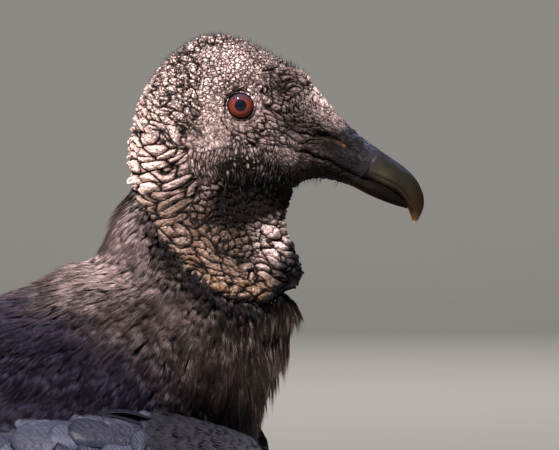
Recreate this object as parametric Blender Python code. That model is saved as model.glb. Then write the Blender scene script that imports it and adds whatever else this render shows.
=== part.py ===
"""Black vulture, a still life-size model: standing, neck drawn in, wings folded.

Sizes are in millimetres and are turned into metres where a mesh is made. The bird faces +X, its left
side is +Y, and the drawing plane of the profile has its zero at the centre of the eye. At the end an
empty carries every piece so that the bird stands on Z = 0, centred over its own footprint.
"""

import math
from collections import namedtuple

import bmesh
import bpy
from mathutils import Vector

MM = 0.001
GAP = 0.32  # clearance between neighbouring solids

# ---------------------------------------------------------------- driving sizes
FLOOR_BELOW_EYE = 335.0
EYE_RADIUS = 7.6
EYE_SIDE = 11.9  # centre of an eyeball from the middle plane
TAIL_LENGTH = 158.0
FOOT_SIDE = 44.0
MIDDLE_TOE = 62.0

# ---------------------------------------------------------------- profile of head, neck and trunk
# Each station is a ring whose plane stands on the line from the top point to the bottom point of the
# profile. side is its half width, egg moves the width towards the top (+) or the bottom (-), and
# power is the superellipse exponent of its outline.
Station = namedtuple("Station", "name top bottom side egg power")

STATIONS = (
    Station("bill base", (56.5, -18.0), (45.5, -32.0), 7.2, -0.05, 2.2),
    Station("nostril", (47.0, -10.8), (36.5, -29.2), 8.8, -0.12, 2.2),
    Station("cere", (38.5, -2.2), (29.5, -28.6), 10.8, -0.16, 2.2),
    Station("lores", (31.0, 6.2), (24.5, -30.0), 13.6, -0.12, 2.2),
    Station("forehead", (24.3, 14.4), (21.4, -32.4), 16.4, -0.06, 2.3),
    Station("brow", (13.0, 20.6), (19.7, -36.5), 18.2, 0.0, 2.4),
    Station("front of crown", (0.6, 26.6), (18.3, -41.2), 19.6, 0.02, 2.4),
    Station("crown", (-13.3, 28.8), (17.5, -44.6), 20.7, 0.03, 2.4),
    Station("back of crown", (-25.5, 22.3), (17.7, -47.2), 21.6, 0.03, 2.4),
    Station("occiput", (-34.6, 12.5), (18.3, -49.8), 22.4, 0.02, 2.4),
    Station("nape", (-40.9, 1.8), (19.3, -52.6), 22.8, 0.0, 2.4),
    Station("upper neck", (-44.0, -9.5), (20.7, -56.2), 23.4, -0.02, 2.4),
    Station("middle neck", (-44.9, -19.5), (22.4, -60.8), 24.4, -0.04, 2.4),
    Station("throat fold", (-44.0, -28.0), (23.6, -66.5), 25.6, -0.06, 2.4),
    Station("feather line", (-43.6, -32.5), (19.5, -73.0), 27.0, -0.04, 2.4),
    Station("ruff", (-49.5, -41.0), (25.3, -79.0), 34.0, 0.0, 2.3),
    Station("lower ruff", (-53.2, -49.5), (24.4, -85.5), 40.0, 0.0, 2.3),
    Station("neck base", (-58.0, -57.8), (21.8, -92.5), 46.5, 0.02, 2.3),
    Station("crop", (-67.0, -62.0), (17.6, -103.0), 54.0, 0.04, 2.3),
    Station("shoulders", (-80.5, -68.6), (10.0, -120.0), 62.0, 0.04, 2.3),
    Station("mantle", (-97.0, -76.0), (1.0, -141.0), 68.0, 0.03, 2.3),
    Station("breast", (-118.0, -86.0), (-11.0, -166.0), 72.0, 0.0, 2.3),
    Station("back", (-142.0, -98.0), (-40.0, -192.0), 74.0, 0.0, 2.3),
    Station("belly", (-168.0, -112.0), (-82.0, -208.0), 72.0, 0.0, 2.3),
    Station("loins", (-194.0, -127.0), (-126.0, -214.0), 66.0, 0.0, 2.3),
    Station("rump", (-218.0, -142.0), (-168.0, -212.0), 55.0, 0.0, 2.2),
    Station("vent", (-240.0, -155.0), (-205.0, -204.0), 41.0, 0.0, 2.2),
    Station("tail root", (-258.0, -167.0), (-236.0, -196.0), 28.0, 0.0, 2.2),
)
PLACE = {station.name: index for index, station in enumerate(STATIONS)}

# Soft hollows and swells of the face: where they lie in the profile, how far they reach, how high
Swell = namedtuple("Swell", "name x z reach_x reach_z height")
SWELLS = (
    Swell("eye socket", 0.0, 0.0, 8.5, 8.0, -2.8),
    Swell("brow ridge", 4.0, 10.5, 12.0, 4.0, 1.3),
    Swell("lore hollow", 17.0, -4.0, 8.0, 7.0, -1.2),
    Swell("cheek", -12.0, -22.0, 12.0, 10.0, 1.2),
    Swell("temple", -20.0, 2.0, 8.0, 9.0, -0.8),
    Swell("mouth corner", 13.0, -17.0, 5.0, 4.0, 1.0),
    Swell("nostril bed", 38.0, -16.5, 8.0, 3.0, -1.0),
)
SWELL_BAND = 7.0  # swells fade out this near the middle plane, which keeps the profile as drawn

NOSTRIL_AT = (38.5, -15.0)
NOSTRIL_SIZE = (4.6, 1.0)  # half length and half height
NOSTRIL_SLOPE = 33.0  # degrees down towards the tip of the bill

# ---------------------------------------------------------------- bill: culmen, cutting edge, keel
BillRing = namedtuple("BillRing", "top bottom side")
UPPER_BILL = (
    BillRing((56.5, -18.0), (48.4, -28.3), 7.0),
    BillRing((61.0, -21.0), (53.0, -30.1), 6.6),
    BillRing((65.9, -24.6), (58.4, -32.2), 6.1),
    BillRing((70.2, -29.2), (62.4, -34.6), 5.4),
    BillRing((72.8, -34.8), (65.2, -37.9), 4.4),
    BillRing((73.1, -39.6), (67.0, -41.2), 3.1),
    BillRing((71.7, -43.6), (68.1, -44.1), 1.8),
    BillRing((69.9, -46.4), (68.9, -46.5), 0.5),
)
LOWER_BILL = (
    BillRing((48.1, -28.7), (45.5, -32.0), 6.4),
    BillRing((53.2, -30.9), (50.8, -34.2), 5.8),
    BillRing((58.0, -32.9), (56.4, -36.9), 5.0),
    BillRing((62.0, -35.5), (61.4, -38.9), 3.8),
    BillRing((65.4, -38.9), (65.2, -40.3), 1.7),
)

BILL_SIDES = 14
BILL_POWER = 2.2

# ---------------------------------------------------------------- folded wing
# A wing ring is upright across the bird: centre, half height, half thickness, how far the top leans
# in (degrees), and how far both edges curl towards the body
WingRing = namedtuple("WingRing", "x y z height thick lean curl")
WING = (
    WingRing(17.0, 62.0, -151.0, 6.0, 4.0, 4, 0),
    WingRing(13.5, 63.5, -151.0, 15.0, 9.0, 5, 0),
    WingRing(4.0, 66.0, -151.5, 22.5, 13.0, 6, 1),
    WingRing(-14.0, 70.0, -153.0, 31.0, 15.5, 8, 4),
    WingRing(-40.0, 75.0, -156.5, 41.0, 16.0, 10, 9),
    WingRing(-70.0, 79.0, -160.0, 49.0, 16.0, 13, 15),
    WingRing(-105.0, 80.0, -164.0, 53.0, 15.0, 17, 20),
    WingRing(-145.0, 76.0, -171.0, 52.0, 13.5, 24, 20),
    WingRing(-185.0, 66.0, -179.0, 46.0, 11.5, 33, 16),
    WingRing(-225.0, 54.0, -188.0, 37.0, 8.5, 42, 10),
    WingRing(-265.0, 43.0, -200.0, 27.0, 5.5, 50, 5),
    WingRing(-305.0, 34.0, -215.0, 18.0, 3.8, 56, 2),
    WingRing(-342.0, 28.0, -231.0, 10.0, 2.4, 60, 1),
    WingRing(-366.0, 25.0, -241.5, 4.0, 1.3, 62, 0),
)

# ---------------------------------------------------------------- tail, a flat fan
TAIL_ROOT = (-236.0, -176.0)
TAIL_SLOPE = 32.0  # degrees below level
TAIL_ROOT_SIDE = 22.0
TAIL_TIP_SIDE = 43.0
TAIL_ROOT_THICK = 8.0  # half thickness
TAIL_TIP_THICK = 1.6
TAIL_ARCH = 6.0  # how far the edges drop below the middle
TAIL_ROUNDING = 12.0  # how far the corners stand back from the middle of the tip
TAIL_POWER = 2.6

# ---------------------------------------------------------------- legs
# Rings of a leg: centre and half sizes along X and Y, from the flank down to the sole
LegRing = namedtuple("LegRing", "x y z long wide")
THIGH = (
    LegRing(-92.0, 46.0, -172.0, 37.0, 21.0),
    LegRing(-95.0, 47.0, -190.0, 36.0, 22.0),
    LegRing(-100.0, 46.5, -208.0, 30.0, 19.5),
    LegRing(-106.0, 45.5, -225.0, 22.0, 15.5),
    LegRing(-113.0, 44.5, -240.0, 14.5, 11.5),
    LegRing(-119.0, 44.0, -252.0, 9.2, 8.6),
)
SHANK = (
    LegRing(-119.5, 44.0, -252.5, 7.2, 6.8),
    LegRing(-121.5, 44.0, -259.0, 7.6, 7.0),
    LegRing(-119.5, 44.0, -266.0, 5.8, 5.4),
    LegRing(-116.0, 44.0, -280.0, 4.7, 4.5),
    LegRing(-110.5, 44.0, -301.0, 4.6, 4.5),
    LegRing(-106.5, 44.0, -315.0, 5.8, 6.0),
    LegRing(-104.0, 44.0, -324.0, 8.6, 9.2),
    LegRing(-103.0, 44.0, -331.0, 10.0, 10.6),
    LegRing(-103.0, 44.0, -335.0, 8.6, 9.2),
)
FOOT_X = -103.0

# A toe: heading from straight ahead (degrees, + turns outwards), length, half width at its root,
# number of pads, claw length
Toe = namedtuple("Toe", "name heading length root pads claw")
TOES = (
    Toe("middle", 4.0, MIDDLE_TOE, 5.2, 3, 14.0),
    Toe("inner", -33.0, 0.64 * MIDDLE_TOE, 4.6, 2, 12.5),
    Toe("outer", 40.0, 0.74 * MIDDLE_TOE, 4.4, 3, 11.5),
    Toe("hind", -165.0, 0.34 * MIDDLE_TOE, 3.8, 1, 10.0),
)
TOE_SIDES = 8
TOE_START = 4.0  # where a toe begins, from the middle of the foot
TOE_TAPER = 0.34  # share of its width that a toe loses by its end
PAD_SWELL = 0.13
TOE_RISE = 0.7  # height of a toe's middle line in half widths, so that the sole is cut flat
CLAW_SIDES = 8
CLAW_SHARE = 0.6  # half width of a claw at its root, as a share of its toe's
CLAW_TAPER = 0.88
CLAW_BEND = 1.2  # radians that a claw turns down by, from root to point
CLAW_TIP_RISE = 0.9

# ---------------------------------------------------------------- colours: base colour, roughness
COLOURS = {
    "bare_skin": ((0.16, 0.13, 0.115), 0.75),
    "horn": ((0.17, 0.17, 0.12), 0.35),
    "eye": ((0.22, 0.06, 0.03), 0.08),
    "ruff_feathers": ((0.045, 0.035, 0.032), 0.8),
    "body_feathers": ((0.022, 0.02, 0.022), 0.6),
    "flight_feathers": ((0.025, 0.024, 0.028), 0.5),
    "leg_skin": ((0.42, 0.4, 0.37), 0.8),
    "claw": ((0.05, 0.045, 0.04), 0.35),
}


def clear_scene():
    for thing in list(bpy.data.objects):
        bpy.data.objects.remove(thing, do_unlink=True)


def material(name):
    """The plain finish of one kind of surface."""
    found = bpy.data.materials.get(name)
    if found:
        return found
    colour, roughness = COLOURS[name]
    made = bpy.data.materials.new(name)
    made.use_nodes = True
    shader = made.node_tree.nodes["Principled BSDF"]
    shader.inputs["Base Color"].default_value = (*colour, 1.0)
    shader.inputs["Roughness"].default_value = roughness
    shader.inputs["Metallic"].default_value = 0.0
    return made


def smooth_row(rows, t):
    """Catmull-Rom value at t (0 to len - 1) of rows of equal numbers."""
    last = len(rows) - 1
    i = min(int(t), last - 1)
    u = t - i
    before, here, there, after = (
        rows[max(i - 1, 0)],
        rows[i],
        rows[i + 1],
        rows[min(i + 2, last)],
    )
    mixed = []
    for a, b, c, d in zip(before, here, there, after):
        mixed.append(
            0.5
            * (
                2 * b
                + (c - a) * u
                + (2 * a - 5 * b + 4 * c - d) * u * u
                + (3 * b - a - 3 * c + d) * u**3
            )
        )
    return mixed


def steps(start, end, count):
    return [start + (end - start) * k / count for k in range(count + 1)]


def power_arc(angle, power):
    """Cosine and sine of a superellipse of that exponent."""
    c, s = math.cos(angle), math.sin(angle)
    bend = 2.0 / power
    return math.copysign(abs(c) ** bend, c), math.copysign(abs(s) ** bend, s)


def loft(name, rings, finish):
    """A closed solid through rings of equal numbers of points, with a flat cap at each end."""
    shape = bmesh.new()
    grid = [[shape.verts.new(Vector(p) * MM) for p in ring] for ring in rings]
    count = len(rings[0])
    for lower, upper in zip(grid, grid[1:]):
        for k in range(count):
            after = (k + 1) % count
            shape.faces.new((lower[k], lower[after], upper[after], upper[k]))
    shape.faces.new(list(reversed(grid[0])))
    shape.faces.new(grid[-1])
    bmesh.ops.recalc_face_normals(shape, faces=shape.faces)
    if shape.calc_volume(signed=True) < 0:
        bmesh.ops.reverse_faces(shape, faces=shape.faces)
    bmesh.ops.triangulate(shape, faces=shape.faces)
    mesh = bpy.data.meshes.new(name)
    shape.to_mesh(mesh)
    shape.free()
    return add_part(name, mesh, finish)


def add_part(name, mesh, finish):
    part = bpy.data.objects.new(name, mesh)
    parts.objects.link(part)
    mesh.materials.append(material(finish))
    mesh.shade_smooth()
    mesh.set_sharp_from_angle(angle=math.radians(50))
    return part


def as_cutter(part):
    """Moves a solid to the cutters, which are left out of the model."""
    parts.objects.unlink(part)
    cutters.objects.link(part)
    part.hide_render = True
    part.display_type = "WIRE"
    return part


def cut(part, *tools):
    for tool in tools:
        change = part.modifiers.new("cut " + tool.name, "BOOLEAN")
        change.operation = "DIFFERENCE"
        change.solver = "EXACT"
        change.object = tool
    return part


# ---------------------------------------------------------------- body
def station_rows():
    return [(*s.top, *s.bottom, s.side, s.egg, s.power) for s in STATIONS]


def body_ring(place, points, grow):
    """The ring of the body at a place along the stations, grown outwards by grow."""
    top_x, top_z, bottom_x, bottom_z, side, egg, power = smooth_row(station_rows(), place)
    top, bottom = Vector((top_x, 0, top_z)), Vector((bottom_x, 0, bottom_z))
    middle, arm = (top + bottom) / 2, (top - bottom) / 2
    arm *= 1 + grow / arm.length
    ring = []
    for k in range(points):
        up, out = power_arc(2 * math.pi * k / points, power)
        out *= 1 + egg * up
        ring.append(middle + arm * up + Vector((0, (side + grow) * out, 0)))
    return ring


def swell_face(ring):
    """Moves the points of a ring sideways by the hollows and swells of the face."""
    for point in ring:
        away = 1 - math.exp(-((point.y / SWELL_BAND) ** 2))
        for swell in SWELLS:
            across = ((point.x - swell.x) / swell.reach_x) ** 2
            along = ((point.z - swell.z) / swell.reach_z) ** 2
            push = swell.height * math.exp(-across - along) * away
            point.y += push * math.copysign(1, point.y)
    return ring


def body_length(name, start, end, rings, points, finish, grow=0.0, face=False):
    """The stretch of the body from one named station to another."""
    made = [
        body_ring(place, points, grow)
        for place in steps(PLACE[start], PLACE[end], rings)
    ]
    if face:
        made = [swell_face(ring) for ring in made]
    inset_end(made, 0, 1, GAP / 2 - grow)
    inset_end(made, -1, -2, GAP / 2 - grow)
    return loft(name, made, finish)


def inset_end(rings, end, inner, depth):
    """Draws an end ring back towards the ring inside it, so that neighbours stay apart."""
    rings[end] = [a + (b - a).normalized() * depth for a, b in zip(rings[end], rings[inner])]


def trunk_with(grow, name="trunk", points=26, rings=16):
    return body_length(name, "neck base", "tail root", rings, points, "body_feathers", grow)


# ---------------------------------------------------------------- head
def ball(name, radius, centre, finish, segments=14, rings=8):
    shape = bmesh.new()
    bmesh.ops.create_uvsphere(shape, u_segments=segments, v_segments=rings, radius=radius * MM)
    mesh = bpy.data.meshes.new(name)
    shape.to_mesh(mesh)
    shape.free()
    part = add_part(name, mesh, finish)
    part.rotation_euler = (math.pi / 2, 0, 0)
    part.location = Vector(centre) * MM
    return part


def nostril_slot():
    """A long narrow slot right through the cere, sloping with the bill."""
    bpy.ops.mesh.primitive_cylinder_add(vertices=16, radius=MM, depth=60 * MM)
    slot = bpy.context.object
    slot.name = "nostril cutter"
    for owner in list(slot.users_collection):
        owner.objects.unlink(slot)
    parts.objects.link(slot)
    slot.scale = (*NOSTRIL_SIZE, 1)
    slot.rotation_euler = (math.pi / 2, math.radians(NOSTRIL_SLOPE), 0)
    slot.location = Vector((NOSTRIL_AT[0], 0, NOSTRIL_AT[1])) * MM
    return as_cutter(slot)


def make_head():
    head = body_length("head", "bill base", "nape", 21, 28, "bare_skin", face=True)
    sockets = [
        as_cutter(ball(f"socket {side}", EYE_RADIUS + GAP, (0, way * EYE_SIDE, 0), "bare_skin"))
        for side, way in (("left", 1), ("right", -1))
    ]
    cut(head, *sockets, nostril_slot())
    for side, way in (("left", 1), ("right", -1)):
        ball(f"eye_{side}", EYE_RADIUS, (0, way * EYE_SIDE, 0), "eye")


def bill_half(name, rows, finish, count):
    """The upper or the lower half of the bill, from its base to its tip."""
    flat = [(*r.top, *r.bottom, r.side) for r in rows]
    rings = []
    for place in steps(0, len(rows) - 1, count):
        top_x, top_z, bottom_x, bottom_z, side = smooth_row(flat, place)
        middle = Vector((top_x + bottom_x, 0, top_z + bottom_z)) / 2
        arm = Vector((top_x - bottom_x, 0, top_z - bottom_z)) / 2
        ring = []
        for k in range(BILL_SIDES):
            up, out = power_arc(2 * math.pi * k / BILL_SIDES, BILL_POWER)
            ring.append(middle + arm * up + Vector((0, side * out, 0)))
        rings.append(ring)
    base = STATIONS[PLACE["bill base"]]
    rise, run = base.top[1] - base.bottom[1], base.top[0] - base.bottom[0]
    forward = Vector((rise, 0, -run)).normalized()
    rings[0] = [point + forward * GAP for point in rings[0]]
    return loft(name, rings, finish)


# ---------------------------------------------------------------- wings and tail
def wing_ring(row, way, points, grow):
    x, y, z, height, thick, lean, curl = row
    lean = math.radians(lean)
    up = Vector((0, -math.sin(lean) * way, math.cos(lean)))
    out = Vector((0, math.cos(lean) * way, math.sin(lean)))
    centre = Vector((x, y * way, z))
    ring = []
    for k in range(points):
        angle = 2 * math.pi * k / points
        c, s = math.cos(angle), math.sin(angle)
        ring.append(centre + up * (height + grow) * c + out * ((thick + grow) * s - curl * c * c))
    return ring


def wing_form(name, way, grow=0.0, rings=18, points=14):
    rows = [tuple(r) for r in WING]
    made = [wing_ring(smooth_row(rows, t), way, points, grow) for t in steps(0, len(rows) - 1, rings)]
    return loft(name, made, "flight_feathers")


def tail_form(name, grow=0.0, rings=6, points=18):
    slope = math.radians(TAIL_SLOPE)
    back = Vector((-math.cos(slope), 0, -math.sin(slope)))
    up = Vector((-math.sin(slope), 0, math.cos(slope)))
    root = Vector((TAIL_ROOT[0], 0, TAIL_ROOT[1]))
    made = []
    for t in steps(0.0, 1.0, rings):
        side = TAIL_ROOT_SIDE + (TAIL_TIP_SIDE - TAIL_ROOT_SIDE) * math.sin(t * math.pi / 2)
        thick = TAIL_ROOT_THICK + (TAIL_TIP_THICK - TAIL_ROOT_THICK) * math.sin(t * math.pi / 2)
        ring = []
        for k in range(points):
            c, s = power_arc(2 * math.pi * k / points, TAIL_POWER)
            away = c * c
            lengthwise = TAIL_LENGTH * t - TAIL_ROUNDING * t * away
            lift = (thick + grow) * s - TAIL_ARCH * away
            ring.append(root + back * lengthwise + up * lift + Vector((0, (side + grow) * c, 0)))
        made.append(ring)
    return loft(name, made, "flight_feathers")


# ---------------------------------------------------------------- legs
def leg_length(name, rows, way, finish, rings, points, grow=0.0):
    made = []
    for place in steps(0, len(rows) - 1, rings):
        x, y, z, long, wide = smooth_row([tuple(r) for r in rows], place)
        ring = []
        for k in range(points):
            angle = 2 * math.pi * k / points
            ahead = (long + grow) * math.cos(angle)
            aside = (wide + grow) * math.sin(angle)
            ring.append(Vector((x + ahead, y * way + aside, z)))
        made.append(ring)
    return loft(name, made, finish)


def toe_axis(toe, way):
    heading = math.radians(toe.heading)
    return Vector((math.cos(heading), math.sin(heading) * way, 0))


def toe_form(toe, side, way, grow=0.0, name=None):
    """A toe with a swollen pad under each joint and a flat sole on the floor."""
    ahead = toe_axis(toe, way)
    across = Vector((-ahead.y, ahead.x, 0))
    start = Vector((FOOT_X, FOOT_SIDE * way, 0))
    made = []
    for t in steps(0.0, 1.0, 2 * toe.pads + 3):
        pad = 1 + PAD_SWELL * math.cos(2 * math.pi * (toe.pads * t + 0.5))
        half = toe.root * (1 - TOE_TAPER * t) * pad + grow
        middle = start + ahead * (TOE_START + (toe.length - TOE_START) * t)
        ring = []
        for k in range(TOE_SIDES):
            angle = 2 * math.pi * k / TOE_SIDES
            height = max(half * (TOE_RISE + math.sin(angle)), 0.0)
            point = middle + across * half * math.cos(angle)
            ring.append(Vector((point.x, point.y, height - FLOOR_BELOW_EYE)))
        made.append(ring)
    return loft(name or f"toe_{side}_{toe.name}", made, "leg_skin")


def claw_form(toe, side, way):
    """A claw that arches over from the end of a toe and points down at the floor."""
    ahead = toe_axis(toe, way)
    across = Vector((-ahead.y, ahead.x, 0))
    half = toe.root * CLAW_SHARE
    start = Vector((FOOT_X, FOOT_SIDE * way, 0)) + ahead * (toe.length + GAP)
    made = []
    for t in steps(0.0, 1.0, 5):
        bend = CLAW_BEND * t
        reach = toe.claw * math.sin(bend) / math.sin(CLAW_BEND)
        fall = (1 - math.cos(bend)) / (1 - math.cos(CLAW_BEND))
        rise = 1.4 * half + (CLAW_TIP_RISE - 1.4 * half) * fall
        thick = half * (1 - CLAW_TAPER * t)
        up = ahead * math.sin(bend) + Vector((0, 0, math.cos(bend)))
        middle = start + ahead * reach + Vector((0, 0, rise - FLOOR_BELOW_EYE))
        ring = []
        for k in range(CLAW_SIDES):
            angle = 2 * math.pi * k / CLAW_SIDES
            ring.append(middle + (up * math.sin(angle) + across * math.cos(angle)) * thick)
        made.append(ring)
    return loft(f"claw_{side}_{toe.name}", made, "claw")


def make_leg(side, way, trunk_cutter, wing_cutter):
    thigh = leg_length(f"thigh_{side}", THIGH, way, "body_feathers", 8, 14)
    leg_length(f"shank_{side}", SHANK, way, "leg_skin", 12, 10)
    shank_cutter = as_cutter(leg_length(f"shank cutter {side}", SHANK, way, "leg_skin", 12, 10, GAP))
    cut(thigh, trunk_cutter, wing_cutter, shank_cutter)
    middle = TOES[0]
    middle_cutter = as_cutter(toe_form(middle, side, way, GAP, f"toe cutter {side}"))
    for toe in TOES:
        made = cut(toe_form(toe, side, way), shank_cutter)
        if toe.name in ("inner", "outer"):
            cut(made, middle_cutter)
        claw_form(toe, side, way)


def stand_on_floor():
    """Hangs every piece from one empty, which puts the soles at Z = 0 and the middle of X at 0."""
    bpy.context.view_layer.update()
    graph = bpy.context.evaluated_depsgraph_get()
    reach = []
    for part in parts.objects:
        shape = part.evaluated_get(graph)
        reach += [(shape.matrix_world @ v.co).x for v in shape.data.vertices]
    carrier = bpy.data.objects.new("vulture", None)
    parts.objects.link(carrier)
    for part in [*parts.objects, *cutters.objects]:
        if part is not carrier:
            part.parent = carrier
    carrier.location = (-(min(reach) + max(reach)) / 2, 0, FLOOR_BELOW_EYE * MM)


clear_scene()
parts = bpy.data.collections.new("black_vulture")
cutters = bpy.data.collections.new("cutters")
for group in (parts, cutters):
    bpy.context.scene.collection.children.link(group)

make_head()
bill_half("bill_upper", UPPER_BILL, "horn", 13)
bill_half("bill_lower", LOWER_BILL, "horn", 7)
body_length("neck", "nape", "feather line", 10, 28, "bare_skin")
body_length("collar", "feather line", "neck base", 7, 28, "ruff_feathers")
trunk_with(0.0)
grown_trunk = as_cutter(trunk_with(GAP, "trunk cutter"))
cut(tail_form("tail"), grown_trunk)
grown_tail = as_cutter(tail_form("tail cutter", GAP))
for side_name, side_way in (("left", 1), ("right", -1)):
    cut(wing_form(f"wing_{side_name}", side_way), grown_trunk, grown_tail)
    grown_wing = as_cutter(wing_form(f"wing cutter {side_name}", side_way, GAP))
    make_leg(side_name, side_way, grown_trunk, grown_wing)
stand_on_floor()
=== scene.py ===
"""Black vulture: the looks of a still, life-size model of the bird standing with its neck drawn in.

Shapes are drawn in millimetres from the point between the eyes: x runs forward to the bill, y to the
bird's left and z up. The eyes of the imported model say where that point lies. One skin stands for all
flesh, and bristles, plumes, vanes, horn, eyes and claws are pieces of their own over it.
"""

from __future__ import annotations

import itertools
import logging
import math
from dataclasses import dataclass, field
from enum import Enum
from typing import Any, Callable, Sequence

import bmesh
import bpy
import numpy as np
from bpy.types import ID, Material, Mesh, NodeSocket, NodeTree, Object
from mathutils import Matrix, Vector
from mathutils.bvhtree import BVHTree

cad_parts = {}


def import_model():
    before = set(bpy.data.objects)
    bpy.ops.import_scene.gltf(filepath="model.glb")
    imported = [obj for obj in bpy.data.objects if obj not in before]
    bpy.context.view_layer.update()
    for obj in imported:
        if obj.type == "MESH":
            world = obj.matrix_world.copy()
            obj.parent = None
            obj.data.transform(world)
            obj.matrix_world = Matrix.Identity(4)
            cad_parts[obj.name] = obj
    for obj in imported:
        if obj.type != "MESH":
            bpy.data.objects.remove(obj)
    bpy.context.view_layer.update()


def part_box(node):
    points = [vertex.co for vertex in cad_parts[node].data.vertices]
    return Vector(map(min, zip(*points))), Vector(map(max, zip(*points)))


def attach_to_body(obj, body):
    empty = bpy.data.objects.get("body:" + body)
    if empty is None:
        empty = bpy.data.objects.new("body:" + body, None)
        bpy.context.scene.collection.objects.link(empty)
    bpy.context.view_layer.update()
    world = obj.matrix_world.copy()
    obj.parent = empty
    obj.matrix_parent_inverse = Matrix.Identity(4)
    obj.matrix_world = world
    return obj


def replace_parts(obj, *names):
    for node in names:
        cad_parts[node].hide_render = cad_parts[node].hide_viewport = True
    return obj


Array = np.ndarray
Pair = tuple[float, float]
Colour = tuple[float, float, float]
Faces = list[tuple[int, ...]]

LOG = logging.getLogger("vulture")
MM = 0.001
BODY = "root"
SIDES = {"left": 1.0, "right": -1.0}
TOES = ("hind", "inner", "middle", "outer")
CELL_STRAY = 0.62  # how far the cushions of the skin stray from even rows, in the mesh and in the material
ROUNDNESS = 0.6  # how round the cushions are, in both
FINER = (2.6, 2.6, 1.7)  # how much finer the knobs on the cushions are, in both


# ---------------------------------------------------------------- small mathematics
def unit(vectors: Array) -> Array:
    """Vectors at length one."""
    return vectors / np.maximum(np.linalg.norm(vectors, axis=-1, keepdims=True), 1e-12)


def ramp(values: Array | float, low: float, high: float) -> Array:
    """A smooth step from 0 at low to 1 at high."""
    t = np.clip((np.asarray(values) - low) / (high - low), 0.0, 1.0)
    return t * t * (3.0 - 2.0 * t)


def between(ends: Pair, share: Array | float) -> Any:
    """The number at a share of the way from the first to the second."""
    return ends[0] + (ends[1] - ends[0]) * share


def blob(x: Array, z: Array, centre: Pair, reach: Pair) -> Array:
    """A soft round patch of the side view, 1 in its middle."""
    return np.exp(-(((x - centre[0]) / reach[0]) ** 2) - ((z - centre[1]) / reach[1]) ** 2)


def smooth_rows(rows: Array, places: Array) -> Array:
    """Catmull-Rom values of a table at fractional row numbers.

    Args:
        rows: The table, one row for each named ring.
        places: Where to read it, from 0 to the last row, in any shape.

    Returns:
        One row for each place.
    """
    last = len(rows) - 1
    places = np.clip(places, 0.0, float(last))
    first = np.clip(places.astype(int), 0, last - 1)
    u = (places - first)[..., None]
    a, b, c, d = (rows[np.clip(first + k, 0, last)] for k in (-1, 0, 1, 2))
    curve = (2 * a - 5 * b + 4 * c - d) * u**2 + (3 * b - a - 3 * c + d) * u**3
    return 0.5 * (2 * b + (c - a) * u + curve)


def lattice_random(corner: Array, seed: int) -> Array:
    """Three even random numbers for each whole-numbered corner of a lattice."""
    mixed = corner[:, 0] * 73856093 ^ corner[:, 1] * 19349663 ^ corner[:, 2] * 83492791 ^ seed * 26543
    out = np.empty((len(corner), 3))
    for k in range(3):
        mixed = ((mixed ^ (mixed >> 13)) * 1274126177 + 12345) & 0xFFFFFFFF
        out[:, k] = ((mixed >> 4) & 0xFFFFFF) / 0x1000000
    return out


def soft_noise(points: Array, seed: int) -> Array:
    """Smooth noise in three channels, each from -1 to 1."""
    base = np.floor(points).astype(np.int64)
    u = points - base
    u = u * u * (3 - 2 * u)
    total = np.zeros((len(points), 3))
    for corner in itertools.product((0, 1), repeat=3):
        share = np.prod(np.where(np.array(corner), u, 1 - u), axis=1)
        total += share[:, None] * lattice_random(base + corner, seed)
    return 2 * total - 1


class Tree:
    """A node tree whose nodes are added one by one."""

    def __init__(self, tree: NodeTree) -> None:
        """Wraps a tree of Blender's."""
        self.tree = tree

    def node(self, kind: str, settings: dict[str, Any] | None = None, *inputs: Any, **named: Any) -> Any:
        """Adds a node.

        Args:
            kind: The node's type.
            settings: Its own settings, which are made first.
            inputs: Values or links of its sockets in order, None to leave one alone.
            named: Values or links of its sockets by name, with _ for a space.

        Returns:
            The node.
        """
        node = self.tree.nodes.new(kind)
        for key, value in (settings or {}).items():
            setattr(node, key, value)
        sockets = [*enumerate(inputs), *((key.replace("_", " "), value) for key, value in named.items())]
        for key, value in sockets:
            if value is not None:
                self.feed(node.inputs[key], value)
        return node

    def feed(self, socket: Any, value: Any) -> None:
        """Links or sets a socket."""
        value = getattr(value, "socket", value)
        if isinstance(value, NodeSocket):
            self.tree.links.new(value, socket)
        elif isinstance(value, tuple) and len(value) == 3 and socket.type == "RGBA":
            socket.default_value = (*value, 1.0)
        else:
            socket.default_value = value


def grown_tree(name: str, **inputs: str) -> Tree:
    """An empty Geometry Nodes tree with named inputs and one geometry as its output."""
    tree = bpy.data.node_groups.new(name, "GeometryNodeTree")
    for key, kind in inputs.items():
        tree.interface.new_socket(key, in_out="INPUT", socket_type=f"NodeSocket{kind}")
    tree.interface.new_socket("Result", in_out="OUTPUT", socket_type="NodeSocketGeometry")
    return Tree(tree)


def cell_tree() -> NodeTree:
    """A node tree that writes cell noise on points, which is built once."""
    if "cells" in bpy.data.node_groups:
        return bpy.data.node_groups["cells"]
    grown = grown_tree("cells", Points="Geometry")
    place = grown.node("GeometryNodeInputPosition").outputs[0]
    link = grown.node("NodeGroupInput").outputs[0]
    kinds = (("near", "F1", "Distance"), ("tag", "F1", "Color"), ("edge", "DISTANCE_TO_EDGE", "Distance"))
    for name, feature, output in kinds:
        sockets = {"Vector": place, "Scale": 1.0, "Randomness": CELL_STRAY}
        value = grown.node("ShaderNodeTexVoronoi", {"feature": feature}, **sockets).outputs[output]
        sockets = {"Geometry": link, "Name": name, "Value": value}
        link = grown.node("GeometryNodeStoreNamedAttribute", None, **sockets).outputs[0]
    grown.node("NodeGroupOutput", None, link)
    return grown.tree


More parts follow.
